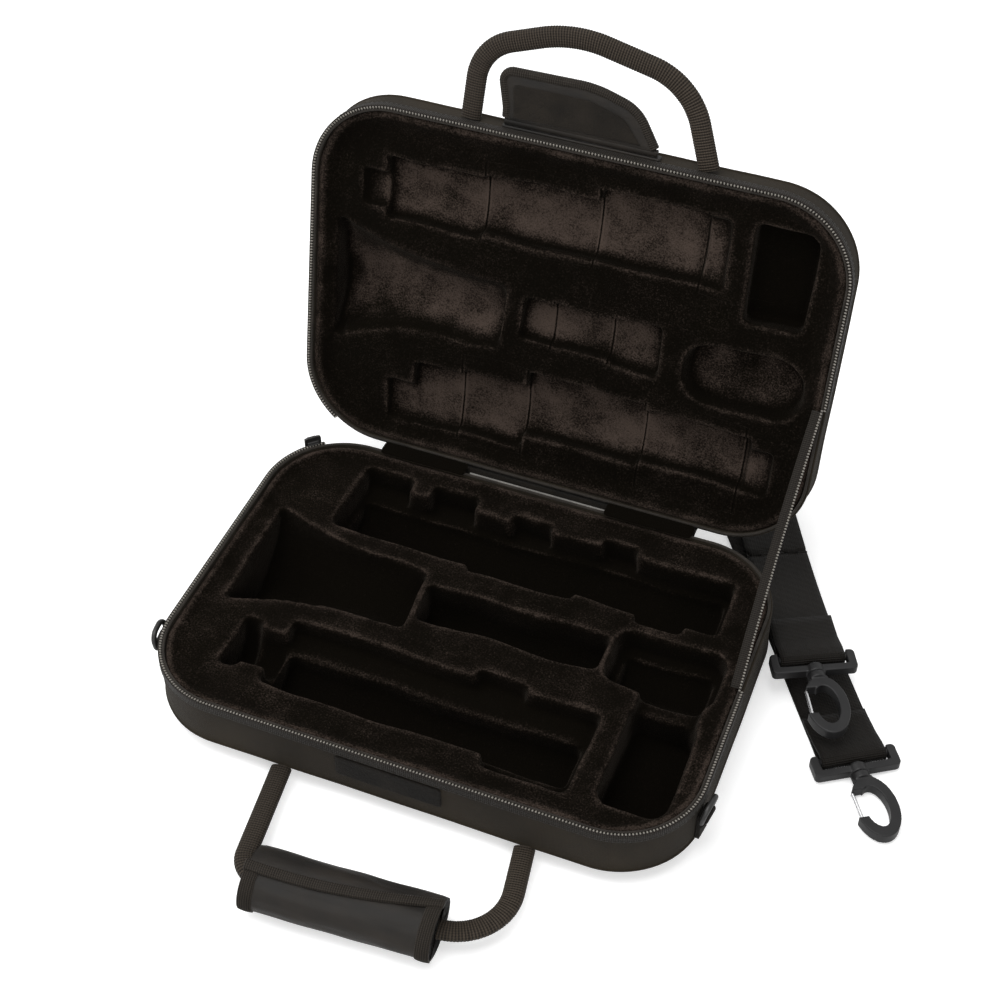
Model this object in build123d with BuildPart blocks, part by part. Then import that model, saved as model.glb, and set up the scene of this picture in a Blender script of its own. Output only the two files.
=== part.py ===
from build123d import *
import math
import os

# Zippered clarinet case, standing open. Millimetres, +Z up, +X to the right of someone who
# faces the handle side, which looks towards -Y. The origin is on the floor under the middle
# of the base. Sizes of the lid are written as if it were shut, and its planes are turned.

# ---- case body ----
case_width = 360.0
case_depth = 248.0
corner_radius = 55.0
base_height = 51.0           # floor to the parting plane
lid_height = 36.0            # parting plane to the outside of the lid
wall = 3.0
base_crease = 13.4           # height of the fold round the foot of the base
lid_crease = 14.6            # the same fold on the lid, from its outside
crease_inset = 17.0
lid_open_angle = 103.0
hinge_drop = 4.0             # hinge line below the parting plane
hinge_out = 1.5              # hinge line behind the rear wall
touch_gap = 0.3              # between soft pieces that only touch
tray_gap = 0.2

# ---- rim and zipper ----
rim_drop = 2.6               # shell edge below the parting plane
half_parting = 0.6
coil_width = 1.5
tape_thickness = 0.8
tape_height = 7.0
piping_size = 1.8
piping_inset = 1.7
zip_left_end = -157.0        # where the zipper starts, on the rear left corner
base_zip_end = 6.0           # where its free tail leaves the base, on the right wall
lid_zip_end = 11.0
tail_width = 7.0
tail_thickness = 1.6
tail_inset = 1.5
slider_angle = 133.5         # round the rear left corner, counted from the right
slider_length = 12.0
slider_height = 9.0
slider_plate = 1.6
slider_clearance = 0.5
slider_blade = 0.6
bail_span = 9.0
bail_bar = 1.6
knuckle_diameter = 3.8
knuckle_clearance = 0.3
pull_length = 24.0
pull_width = 6.0
pull_thickness = 1.5

# ---- hinge ----
cloth_left = -116.0
cloth_right = 112.0
cloth_thickness = 0.8
cloth_height = 8.0
tab_spans = ((-116.0, -53.0), (49.0, 111.0))
tab_thickness = 1.2
tab_reach = 11.5             # from over the tray to just short of the lid
rod_half_length = 50.0
rod_diameter = 1.5

# ---- moulded trays ----
tray_edge_drop = 2.8
edge_roll = 2.0
base_dish = 2.6
base_dish_inset = 7.0
lid_dish = 5.0
lid_dish_inset = 13.0
well_corner = 2.4
soft_corner = 10.0

# Upper joint well of the base: the long slot, its key bays (left, right, far edge) and floors.
upper_well = (-120.0, 150.0, 48.0, 94.0)
upper_bays = ((-120.0, -85.0, 107.0), (-70.0, -36.0, 107.0), (-8.0, 20.0, 102.0), (58.0, 82.0, 102.0))
upper_near_bays = ((-20.0, 52.0, 42.0), (98.0, 128.0, 41.0))
upper_shelf = 19.0
upper_core = (-116.0, 146.0, 52.0, 91.0)
upper_core_depth = 35.0

# Lower joint well of the base.
lower_well = (-106.0, 102.0, -92.0, -39.0)
lower_bay = (46.0, 102.0, -101.0)
lower_key_bay = (20.0, 54.0, -33.0)
lower_shelf = 14.0
lower_core = (-102.0, 98.0, -89.0, -56.0)
lower_core_depth = 36.0
lower_saddle = (-126.0, -104.0, -81.0, -52.0)
lower_saddle_depth = 24.0
lower_slot = (-136.0, -125.0, -86.0, -47.0)
lower_slot_depth = 30.0

# Bell well: section half widths and depths along X, around its own line.
bell_line = 6.0
bell_stations = (-158.0, -140.0, -115.0, -85.0, -41.0)
bell_half_widths = (43.0, 37.0, 30.0, 26.0, 24.0)
bell_base_depths = (41.6, 37.0, 31.0, 27.0, 25.0)
bell_lid_depths = (22.0, 19.0, 15.5, 13.0, 11.5)
bell_lid_slot = (-163.0, -156.0, -38.0, 50.0)
bell_lid_slot_depth = 21.5

barrel_well = (-36.0, 88.0, -7.0, 22.0)
barrel_well_depth = 30.0
mouthpiece_well = (93.0, 164.0, -12.0, 33.0)
mouthpiece_shelf = 18.0
mouthpiece_core = (99.0, 158.0, -5.0, 26.0)
mouthpiece_core_depth = 31.0
accessory_well = (119.0, 162.0, -100.0, -22.0)
accessory_depth = 33.0
saddle_between = (121.0, 160.0, -26.0, -8.0)
saddle_between_depth = 8.0

# Lid wells (left, right, near, far, depth), as they lie with the lid shut.
lid_lower_joint = (
    (-145.0, -130.0, -76.0, -52.0, 5.0),
    (-130.0, -62.0, -88.0, -46.0, 11.0),
    (-62.0, 15.0, -90.0, -49.0, 12.5),
    (15.0, 85.0, -98.0, -50.0, 11.5),
    (85.0, 99.0, -97.0, -50.0, 6.0),
)
lid_upper_joint = (
    (-120.0, -102.0, 74.0, 105.0, 6.0),
    (-102.0, -67.0, 57.0, 104.0, 9.0),
    (-67.0, -20.0, 54.0, 102.0, 11.0),
    (-20.0, 63.0, 43.0, 92.0, 12.5),
    (63.0, 135.0, 49.0, 88.0, 11.0),
    (135.0, 152.0, 56.0, 88.0, 6.0),
)
lid_barrel = (
    (-28.0, -8.0, -11.0, 19.0, 8.0),
    (-8.0, 33.0, -13.0, 19.0, 10.0),
    (33.0, 67.0, -13.0, 21.0, 9.0),
)
lid_mouthpiece = (84.0, 163.0, -12.0, 32.0)
lid_mouthpiece_depth = 13.0
lid_accessory = (115.0, 155.0, -99.0, -33.0)
lid_accessory_depth = 14.0
lid_floor_round = 0.25       # how much of a lid well's depth its rounded floor takes up

# ---- handles and closing flap ----
webbing_width = 13.5
webbing_thickness = 7.0
front_handle_level = 11.0
front_handle_roots = (-76.0, 86.0)
front_handle_turns = (-64.0, 98.0)
front_handle_radii = (16.0, 34.0)
grip_reach = 73.4            # hinge line of the handle to the middle of the grip
grip_skew = 4.0              # the grip lies a little nearer the case at its right end
grip_left = -56.0
grip_right = 61.0
grip_half_width = 20.0
grip_half_height = 15.4
grip_wall = 2.6
grip_floor_gap = 0.5
grip_bed = 8.0               # half width of the pad the webbing lies on inside the grip
seam_point = (7.4, 14.3)     # where cover and lining meet on top, from the grip's middle
fold_point = (-17.0, -8.0)   # the fold that joins them low on the far side
edge_binding_width = 9.0
edge_binding_thickness = 1.6
end_binding_width = 8.0
end_binding_thickness = 1.0
lid_handle_level = 11.0      # from the parting plane
lid_handle_points = ((-76.0, 0.0), (-73.0, 44.0), (-14.0, 64.0), (62.0, 48.0), (80.0, 0.0))
lid_handle_radii = (30.0, 80.0, 46.0)
flap_level = 10.0            # from the parting plane
flap_thickness = 4.6
flap_points = ((-54.0, 9.0), (-59.0, 28.0), (-53.0, 36.0), (4.0, 35.0), (28.0, 27.0))
flap_left = -54.0
flap_right = 49.0
flap_round = 4.0
flap_binding_width = 3.2
flap_binding_extra = 0.4
flap_root_end = 12.0         # the flap's root stops short of its slanted side
flap_root_out = 8.0
hook_patch_thickness = 0.8
hook_patch_margin = 9.0
anchor_height = 6.6
patch_width = 70.0
patch_height = 18.0
patch_centre = -3.0
patch_drop = 8.6             # its top edge below the parting plane
patch_thickness = 1.2

# ---- side rings ----
ring_wire = 3.6
ring_width = 21.0
ring_height = 15.0
ring_tab_width = 12.0
ring_tab_thickness = 1.4
ring_tab_foot = 14.4
ring_bar_height = 35.0
ring_corner_angle = 8.0      # round the front corners, from the side walls
ring_lean = 10.0
ring_clearance = 0.3

# ---- shoulder strap, laid down beside and behind the case ----
strap_width = 42.0
strap_thickness = 2.0
strap_layer_gap = 0.3
strap_doubling = 34.0        # sewn-back end at each fitting
strap_floor_gap = 0.4
bar_diameter = 5.0
bar_clearance = 0.3
frame_side_gap = 1.5         # beside the webbing, inside the frame
frame_height = 6.6
frame_arm = 5.5
frame_slot_end = 7.5         # from the middle of the bar
frame_bar_end = 12.5
frame_boss_end = 13.5
swivel_diameter = 5.0
swivel_head = 8.4
swivel_boss = 12.0
swivel_gap = 0.3
collar_end = 18.5
hook_middle = (40.0, 1.0)
hook_half_length = 22.5
hook_half_width = 14.0
eye_half_length = 15.0
eye_half_width = 7.6
hook_thickness = 7.6
gate_gap = (26.0, 46.0)
gate_line = 9.3
gate_diameter = 2.2
upper_bar_out = 29.8         # middle of each fitting's bar: out from the right wall, and its y
upper_bar_y = 72.6
upper_heading = -63.0
upper_level = 21.0
lower_bar_out = 72.5
lower_bar_y = 17.3
lower_heading = -57.0
strap_behind = 111.0         # from the rear wall to the middle of the run behind the case
strap_left_turn_in = 30.0    # its left fold, in from the left wall
strap_flat_end = 60.0        # of the lower end, laid flat before its fold
spare = 20.0                 # what a cutting shape reaches past the piece it cuts
far_off = 150.0

os.makedirs("parts", exist_ok=True)

half_width = case_width / 2
half_depth = case_depth / 2
frame_width = strap_width + 2 * (frame_arm + frame_side_gap)
upper_bar = (half_width + upper_bar_out, upper_bar_y)
lower_bar = (half_width + lower_bar_out, lower_bar_y)
strap_rear_line = half_depth + strap_behind
strap_left_turn = strap_left_turn_in - half_width
hinge_y = half_depth + hinge_out
hinge_z = base_height - hinge_drop
closed_height = base_height + lid_height
open_turn = math.radians(lid_open_angle)
lid_frame = Plane(
    origin=(0, hinge_y, hinge_z),
    x_dir=(1, 0, 0),
    z_dir=(0, -math.sin(open_turn), -math.cos(open_turn)),
)


def on_lid(level):
    """Plane across the lid at a height measured with the lid shut."""
    return lid_frame.offset(hinge_z - level)


def lid_y(y):
    """A shut lid's y as a distance from the hinge line."""
    return hinge_y - y


def outline(inset, mode=Mode.ADD):
    """Plan outline of the case, moved in by a distance."""
    RectangleRounded(case_width - 2 * inset, case_depth - 2 * inset, corner_radius - inset, mode=mode)


def lid_outline(inset, mode=Mode.ADD):
    """The same outline in the lid's own plane."""
    with Locations((0, lid_y(0))):
        outline(inset, mode)


def block(left, right, near, far, mode=Mode.ADD):
    """Rectangle given by its four sides."""
    with Locations(((left + right) / 2, (near + far) / 2)):
        Rectangle(right - left, far - near, mode=mode)


def across(frame, x, y=0.0, z=0.0):
    """Plane square to X, with a frame's y to its right and its z up."""
    return Plane(origin=frame.from_local_coords((x, y, z)), x_dir=frame.y_dir, z_dir=frame.x_dir)


def trough(frame, land, left, right, near, far, depth, sag):
    """Cut a long well with a rounded floor, from the land down."""
    with BuildSketch(across(frame, left, 0, land)) as section:
        with BuildLine():
            Polyline((near, sag - depth), (near, 1), (far, 1), (far, sag - depth))
            ThreePointArc((near, sag - depth), ((near + far) / 2, -depth), (far, sag - depth))
        make_face()
    extrude(section.sketch, amount=right - left, mode=Mode.SUBTRACT)


def bell_section(frame, x, y, land, half, depth):
    """Arc section of the bell well at one station."""
    with BuildSketch(across(frame, x, y, land)) as section:
        with BuildLine():
            Polyline((-half, 0), (-half, 1), (half, 1), (half, 0))
            ThreePointArc((-half, 0), (0, -depth), (half, 0))
        make_face()
    return section.sketch


def bell_well(frame, y, land, depths):
    """Cut the flared well of the bell through its stations."""
    stations = zip(bell_stations, bell_half_widths, depths)
    loft([bell_section(frame, x, y, land, half, depth) for x, half, depth in stations], mode=Mode.SUBTRACT)


# ======================================================================
# Base: shell, zipper half and rim piping
# ======================================================================

with BuildPart() as base_shell:
    with BuildSketch(Plane.XY):
        outline(crease_inset)
    with BuildSketch(Plane.XY.offset(base_crease)):
        outline(0)
    loft(ruled=True)
    with BuildSketch(Plane.XY.offset(base_crease)):
        outline(0)
    extrude(amount=base_height - rim_drop - base_crease)
    with BuildSketch(Plane.XY.offset(wall)):
        outline(crease_inset)
    with BuildSketch(Plane.XY.offset(base_crease)):
        outline(wall)
    loft(ruled=True, mode=Mode.SUBTRACT)
    with BuildSketch(Plane.XY.offset(base_crease)):
        outline(wall)
    extrude(amount=base_height - base_crease, mode=Mode.SUBTRACT)
base_shell.part.label = "base_shell"
export_step(base_shell.part, "parts/base_shell.step")

with BuildPart() as base_zip_tape:
    with BuildSketch(Plane.XY.offset(base_height - half_parting)):
        outline(-tape_thickness)
        outline(0, Mode.SUBTRACT)
        block(zip_left_end, case_width, base_zip_end, case_depth, Mode.SUBTRACT)
    extrude(amount=-tape_height)
base_zip_tape.part.label = "base_zip_tape"
export_step(base_zip_tape.part, "parts/base_zip_tape.step")

with BuildPart() as base_zip_coil:
    with BuildSketch(Plane.XY.offset(base_height - rim_drop)):
        outline(0)
        outline(coil_width, Mode.SUBTRACT)
        block(zip_left_end, case_width, base_zip_end, case_depth, Mode.SUBTRACT)
    extrude(amount=rim_drop - half_parting)
base_zip_coil.part.label = "base_zip_coil"
export_step(base_zip_coil.part, "parts/base_zip_coil.step")

with BuildPart() as base_rim_piping:
    with BuildSketch(Plane.XY.offset(base_height - rim_drop)):
        outline(piping_inset)
        outline(piping_inset + piping_size, Mode.SUBTRACT)
    extrude(amount=piping_size)
    fillet(base_rim_piping.edges().group_by(Axis.Z)[-1], piping_size * 0.4)
base_rim_piping.part.label = "base_rim_piping"
export_step(base_rim_piping.part, "parts/base_rim_piping.step")

# ======================================================================
# Base tray: plush-covered moulding with fitted wells
# ======================================================================

tray_inset = wall + tray_gap
base_land = base_height - tray_edge_drop - base_dish

with BuildPart() as base_tray:
    with BuildSketch(Plane.XY.offset(wall)):
        outline(crease_inset + tray_gap)
    with BuildSketch(Plane.XY.offset(base_crease)):
        outline(tray_inset)
    loft(ruled=True)
    with BuildSketch(Plane.XY.offset(base_crease)):
        outline(tray_inset)
    extrude(amount=base_height - tray_edge_drop - base_crease)
    fillet(base_tray.edges().group_by(Axis.Z)[-1], edge_roll)
    with BuildSketch(Plane.XY.offset(base_land)):
        outline(tray_inset + base_dish_inset)
    extrude(amount=base_dish, taper=-45, mode=Mode.SUBTRACT)
    # long well for the upper joint, with its key bays
    with BuildSketch(Plane.XY.offset(base_land)):
        block(*upper_well)
        for left, right, far in upper_bays:
            block(left, right, upper_well[2] + 10, far)
        for left, right, near in upper_near_bays:
            block(left, right, near, upper_well[3] - 10)
        fillet(vertices(), well_corner)
    extrude(amount=-upper_shelf, mode=Mode.SUBTRACT)
    trough(Plane.XY, base_land, *upper_core, upper_core_depth, 12)
    # long well for the lower joint, with the rests for its tenon
    with BuildSketch(Plane.XY.offset(base_land)):
        block(*lower_well)
        block(lower_bay[0], lower_bay[1], lower_bay[2], lower_well[3] - 10)
        block(lower_key_bay[0], lower_key_bay[1], lower_well[2] + 10, lower_key_bay[2])
        fillet(vertices(), well_corner)
    extrude(amount=-lower_shelf, mode=Mode.SUBTRACT)
    trough(Plane.XY, base_land, *lower_core, lower_core_depth, 10)
    trough(Plane.XY, base_land, *lower_saddle, lower_saddle_depth, 13)
    trough(Plane.XY, base_land, *lower_slot, lower_slot_depth, 18)
    # flared well for the bell
    bell_well(Plane.XY, bell_line, base_land, bell_base_depths)
    # barrel, mouthpiece and accessory wells
    trough(Plane.XY, base_land, *barrel_well, barrel_well_depth, 13)
    with BuildSketch(Plane.XY.offset(base_land)):
        block(*mouthpiece_well)
        fillet(vertices(), soft_corner)
    extrude(amount=-mouthpiece_shelf, mode=Mode.SUBTRACT)
    trough(Plane.XY, base_land, *mouthpiece_core, mouthpiece_core_depth, 9)
    with BuildSketch(Plane.XY.offset(base_land)):
        block(*accessory_well)
        fillet(vertices(), soft_corner)
    extrude(amount=-accessory_depth, mode=Mode.SUBTRACT)
    with BuildSketch(Plane.XY.offset(base_land)):
        block(*saddle_between)
    extrude(amount=-saddle_between_depth, mode=Mode.SUBTRACT)
base_tray.part.label = "base_tray"
export_step(base_tray.part, "parts/base_tray.step")

# ======================================================================
# Lid: the same pieces, turned open about the hinge line
# ======================================================================

with BuildPart() as lid_shell:
    with BuildSketch(on_lid(closed_height)):
        lid_outline(crease_inset)
    with BuildSketch(on_lid(closed_height - lid_crease)):
        lid_outline(0)
    loft(ruled=True)
    with BuildSketch(on_lid(closed_height - lid_crease)):
        lid_outline(0)
    extrude(amount=lid_height - lid_crease - rim_drop)
    with BuildSketch(on_lid(closed_height - wall)):
        lid_outline(crease_inset)
    with BuildSketch(on_lid(closed_height - lid_crease)):
        lid_outline(wall)
    loft(ruled=True, mode=Mode.SUBTRACT)
    with BuildSketch(on_lid(closed_height - lid_crease)):
        lid_outline(wall)
    extrude(amount=lid_height, mode=Mode.SUBTRACT)
lid_shell.part.label = "lid_shell"
export_step(lid_shell.part, "parts/lid_shell.step")

with BuildPart() as lid_zip_tape:
    with BuildSketch(on_lid(base_height + half_parting)):
        lid_outline(-tape_thickness)
        lid_outline(0, Mode.SUBTRACT)
        block(zip_left_end, case_width, -case_depth, lid_y(lid_zip_end), Mode.SUBTRACT)
    extrude(amount=-tape_height)
lid_zip_tape.part.label = "lid_zip_tape"
export_step(lid_zip_tape.part, "parts/lid_zip_tape.step")

with BuildPart() as lid_zip_coil:
    with BuildSketch(on_lid(base_height + rim_drop)):
        lid_outline(0)
        lid_outline(coil_width, Mode.SUBTRACT)
        block(zip_left_end, case_width, -case_depth, lid_y(lid_zip_end), Mode.SUBTRACT)
    extrude(amount=rim_drop - half_parting)
lid_zip_coil.part.label = "lid_zip_coil"
export_step(lid_zip_coil.part, "parts/lid_zip_coil.step")

lid_axis = Axis(lid_frame.origin, lid_frame.z_dir)
with BuildPart() as lid_rim_piping:
    with BuildSketch(on_lid(base_height + rim_drop)):
        lid_outline(piping_inset)
        lid_outline(piping_inset + piping_size, Mode.SUBTRACT)
    extrude(amount=piping_size)
    fillet(lid_rim_piping.edges().group_by(lid_axis)[-1], piping_size * 0.4)
lid_rim_piping.part.label = "lid_rim_piping"
export_step(lid_rim_piping.part, "parts/lid_rim_piping.step")

lid_land = base_height + tray_edge_drop + lid_dish
lid_land_z = hinge_z - lid_land

with BuildPart() as lid_tray:
    with BuildSketch(on_lid(closed_height - wall)):
        lid_outline(crease_inset + tray_gap)
    with BuildSketch(on_lid(closed_height - lid_crease)):
        lid_outline(tray_inset)
    loft(ruled=True)
    with BuildSketch(on_lid(closed_height - lid_crease)):
        lid_outline(tray_inset)
    extrude(amount=lid_height - lid_crease - tray_edge_drop)
    fillet(lid_tray.edges().group_by(lid_axis)[-1], edge_roll)
    with BuildSketch(on_lid(lid_land)):
        lid_outline(tray_inset + lid_dish_inset)
    extrude(amount=lid_dish, taper=-60, mode=Mode.SUBTRACT)
    for left, right, near, far, depth in lid_lower_joint + lid_upper_joint + lid_barrel:
        trough(lid_frame, lid_land_z, left, right, lid_y(far), lid_y(near), depth, depth * lid_floor_round)
    bell_well(lid_frame, lid_y(bell_line), lid_land_z, bell_lid_depths)
    left, right, near, far = bell_lid_slot
    trough(lid_frame, lid_land_z, left, right, lid_y(far), lid_y(near), bell_lid_slot_depth, 19)
    left, right, near, far = lid_mouthpiece
    with BuildSketch(on_lid(lid_land)):
        block(left, right, lid_y(far), lid_y(near))
        fillet(vertices(), 2 * soft_corner)
    extrude(amount=-lid_mouthpiece_depth, taper=12, mode=Mode.SUBTRACT)
    left, right, near, far = lid_accessory
    with BuildSketch(on_lid(lid_land)):
        block(left, right, lid_y(far), lid_y(near))
        fillet(vertices(), 2 * well_corner)
    extrude(amount=-lid_accessory_depth, mode=Mode.SUBTRACT)
lid_tray.part.label = "lid_tray"
export_step(lid_tray.part, "parts/lid_tray.step")

# ======================================================================
# Hinge: cloth strip, two plush tabs, a corded seam and the zipper's free tail
# ======================================================================

lid_rim_y = hinge_y + (hinge_drop + half_parting) * math.sin(open_turn)
lid_wall_slope = 1 / math.tan(open_turn)
cloth_middle = half_depth + 0.05 + cloth_thickness / 2

with BuildPart() as hinge_cloth:
    with BuildSketch(across(Plane.XY, cloth_left)):
        with BuildLine():
            foot = (cloth_middle, hinge_z - 1 - cloth_height)
            knee = (cloth_middle, hinge_z - 1)
            start = (lid_rim_y, hinge_z - 0.2)
            end = (lid_rim_y + cloth_height, hinge_z - 0.2 + lid_wall_slope * cloth_height)
            Polyline(foot, knee, start, end)
        trace(line_width=cloth_thickness)
    extrude(amount=cloth_right - cloth_left)
hinge_cloth.part.label = "hinge_cloth"
export_step(hinge_cloth.part, "parts/hinge_cloth.step")

piping_top = base_height - rim_drop + piping_size

with BuildPart() as hinge_tabs:
    with BuildSketch(Plane.XY.offset(piping_top + touch_gap)):
        for left, right in tab_spans:
            block(left, right, half_depth - 6, half_depth - 6 + tab_reach)
    extrude(amount=tab_thickness)
    fillet(hinge_tabs.edges().filter_by(Axis.Z), well_corner)
hinge_tabs.part.label = "hinge_tabs"
export_step(hinge_tabs.part, "parts/hinge_tabs.step")

with BuildPart() as hinge_piping:
    rod_y = half_depth - rod_diameter / 2
    with BuildSketch(across(Plane.XY, -rod_half_length, rod_y, base_height - rim_drop + rod_diameter / 2)):
        Circle(rod_diameter / 2)
    extrude(amount=2 * rod_half_length)
hinge_piping.part.label = "hinge_piping"
export_step(hinge_piping.part, "parts/hinge_piping.step")

tail_foot = (base_zip_end, base_height)
tail_head_y = hinge_y + lid_y(lid_zip_end) * -math.cos(open_turn) + hinge_drop * math.sin(open_turn)
tail_head_z = hinge_z + lid_y(lid_zip_end) * math.sin(open_turn) + hinge_drop * math.cos(open_turn)
tail_rise = math.atan2(tail_head_z - tail_foot[1], tail_head_y - tail_foot[0])
tail_span = math.hypot(tail_head_z - tail_foot[1], tail_head_y - tail_foot[0])
tail_left = half_width - tail_inset - tail_width

with BuildPart() as zip_tail:
    tail_plane = Plane(
        origin=(tail_left, tail_foot[0], tail_foot[1]),
        x_dir=(0, math.cos(tail_rise), math.sin(tail_rise)),
        z_dir=(1, 0, 0),
    )
    with BuildSketch(tail_plane):
        block(-spare, tail_span + spare, -tail_thickness / 2, tail_thickness / 2)
    extrude(amount=tail_width)
    split(bisect_by=Plane.XY.offset(piping_top + touch_gap), keep=Keep.TOP)
    split(bisect_by=lid_frame.offset(hinge_z - lid_land + lid_dish + 2 + touch_gap), keep=Keep.TOP)
zip_tail.part.label = "zip_tail"
export_step(zip_tail.part, "parts/zip_tail.step")

# ======================================================================
# Zipper slider and its pull, on the rear left corner
# ======================================================================

corner_x = half_width - corner_radius
corner_y = half_depth - corner_radius


def at_corner(x, y, angle, out, level):
    """Upright plane facing out of a rounded corner; its x runs round the corner."""
    turn = math.radians(angle)
    reach = corner_radius + out
    return Plane(
        origin=(x + reach * math.cos(turn), y + reach * math.sin(turn), level),
        x_dir=(-math.sin(turn), math.cos(turn), 0),
        z_dir=(math.cos(turn), math.sin(turn), 0),
    )


slider_face = tape_thickness + slider_clearance
bail_reach = slider_plate + knuckle_clearance + knuckle_diameter / 2
slider_plane = at_corner(-corner_x, corner_y, slider_angle, slider_face, base_height)

with BuildPart() as zip_slider:
    with BuildSketch(slider_plane):
        RectangleRounded(slider_length, slider_height, 2)
    extrude(amount=slider_plate)
    with BuildSketch(slider_plane):
        Rectangle(slider_length - 4, slider_blade)
    extrude(amount=-slider_face - coil_width)
    with BuildSketch(slider_plane.offset(slider_plate)):
        with Locations((-bail_span / 2, 0), (bail_span / 2, 0)):
            Rectangle(1.4, 2.4)
    extrude(amount=bail_reach - slider_plate + bail_bar / 2)
    with BuildSketch(across(slider_plane, -bail_span / 2, 0, bail_reach)):
        Circle(bail_bar / 2)
    extrude(amount=bail_span)
zip_slider.part.label = "zip_slider"
export_step(zip_slider.part, "parts/zip_slider.step")

with BuildPart() as slider_pull:
    with BuildSketch(across(slider_plane, -pull_width / 2, 0, bail_reach)):
        Circle(knuckle_diameter / 2)
        with Locations((-pull_length / 2, 0)):
            Rectangle(pull_length, pull_thickness)
        Circle(bail_bar / 2 + knuckle_clearance, mode=Mode.SUBTRACT)
    extrude(amount=pull_width)
slider_pull.part.label = "slider_pull"
export_step(slider_pull.part, "parts/slider_pull.step")

# ======================================================================
# Loop patch and side rings on the base
# ======================================================================

with BuildPart() as loop_patch:
    with BuildSketch(Plane.XZ.offset(half_depth)):
        with Locations((patch_centre, base_height - patch_drop - patch_height / 2)):
            RectangleRounded(patch_width, patch_height, 2)
    extrude(amount=patch_thickness)
loop_patch.part.label = "loop_patch"
export_step(loop_patch.part, "parts/loop_patch.step")

ring_hole = ring_wire / 2 + ring_clearance
ring_loop = ring_hole + ring_tab_thickness
ring_out = 0.2 + ring_loop


def ring_tab(plane):
    """Webbing tab that runs up the wall and round the ring's bar."""
    with BuildSketch(across(plane, -ring_tab_width / 2, 0, ring_out)) as section:
        Circle(ring_loop)
        with BuildLine():
            drop = ring_tab_foot - ring_bar_height
            doubled = 2 * ring_tab_thickness - ring_loop
            over = ((0, 0), (0, ring_loop), (drop / 2, doubled), (drop, doubled))
            Polyline(*over, (drop, -ring_loop), (0, -ring_loop), close=True)
        make_face()
        Circle(ring_hole, mode=Mode.SUBTRACT)
    extrude(section.sketch, amount=ring_tab_width)


def wire_ring(plane):
    """Rounded wire ring standing on its straight bar."""
    lean = math.radians(ring_lean)
    upright = Plane(
        origin=plane.from_local_coords((0, 0, ring_out)),
        x_dir=plane.x_dir,
        z_dir=plane.z_dir * math.cos(lean) - plane.y_dir * math.sin(lean),
    )
    half = (ring_width - ring_wire) / 2
    rise = ring_height - ring_wire
    for side in (1, -1):
        with BuildLine(upright) as loop:
            corners = ((0, 0), (side * half, 0), (side * half, rise), (0, rise))
            FilletPolyline(*corners, radius=[2.2, 6.5])
        with BuildSketch(Plane(origin=loop.line @ 0, z_dir=loop.line % 0)) as wire:
            Circle(ring_wire / 2)
        sweep(wire.sketch, path=loop.line)


right_ring_plane = at_corner(corner_x, -corner_y, -ring_corner_angle, 0, ring_bar_height)
left_ring_plane = at_corner(-corner_x, -corner_y, 180 + ring_corner_angle, 0, ring_bar_height)

with BuildPart() as ring_tab_right:
    ring_tab(right_ring_plane)
ring_tab_right.part.label = "ring_tab_right"
export_step(ring_tab_right.part, "parts/ring_tab_right.step")

with BuildPart() as ring_tab_left:
    ring_tab(left_ring_plane)
ring_tab_left.part.label = "ring_tab_left"
export_step(ring_tab_left.part, "parts/ring_tab_left.step")

with BuildPart() as side_ring_right:
    wire_ring(right_ring_plane)
side_ring_right.part.label = "side_ring_right"
export_step(side_ring_right.part, "parts/side_ring_right.step")

with BuildPart() as side_ring_left:
    wire_ring(left_ring_plane)
side_ring_left.part.label = "side_ring_left"
export_step(side_ring_left.part, "parts/side_ring_left.step")

# ======================================================================
# Front handle: webbing loop with a wrap-round padded grip
# ======================================================================

leg_out = webbing_thickness / 2 + touch_gap
grip_level = grip_half_height + grip_floor_gap
handle_rise = math.asin((grip_level - front_handle_level) / grip_reach)
front_frame = Plane(
    origin=(0, -half_depth - leg_out, front_handle_level),
    x_dir=(1, 0, 0),
    z_dir=(0, math.sin(handle_rise), math.cos(handle_rise)),
)
skew = math.radians(grip_skew)
grip_frame = Plane(
    origin=front_frame.from_local_coords((0, -grip_reach, 0)),
    x_dir=front_frame.x_dir * math.cos(skew) + front_frame.y_dir * math.sin(skew),
    z_dir=front_frame.z_dir,
)


def webbing_loop(plane, points, radii):
    """Flat tube of webbing along a rounded path, its ends rounded about the line it hangs from."""
    with BuildLine(plane) as path:
        FilletPolyline(*points, radius=radii)
    start = Plane(
        origin=path.line @ 0,
        x_dir=(path.line % 0).cross(plane.z_dir),
        z_dir=path.line % 0,
    )
    with BuildSketch(start) as section:
        SlotOverall(webbing_width, webbing_thickness)
    sweep(section.sketch, path=path.line)
    for x in (points[0][0], points[-1][0]):
        with BuildSketch(across(plane, x - webbing_width / 2)) as knuckle:
            Circle(webbing_thickness / 2)
        extrude(knuckle.sketch, amount=webbing_width)


def grip_line(x):
    """Middle of the grip in the handle's plane."""
    return (x, -grip_reach + x * math.tan(skew))


with BuildPart() as front_handle_webbing:
    turns = [grip_line(x) for x in front_handle_turns]
    path_points = [(front_handle_roots[0], 0), *turns, (front_handle_roots[1], 0)]
    webbing_loop(front_frame, path_points, list(front_handle_radii))
front_handle_webbing.part.label = "front_handle_webbing"
export_step(front_handle_webbing.part, "parts/front_handle_webbing.step")

bore_half_width = grip_half_width - grip_wall
bore_half_height = grip_half_height - grip_wall


def grip_tube(extra):
    """Section of the grip's padded wall."""
    Ellipse(grip_half_width + extra, grip_half_height + extra)
    Ellipse(bore_half_width, bore_half_height, mode=Mode.SUBTRACT)


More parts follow.
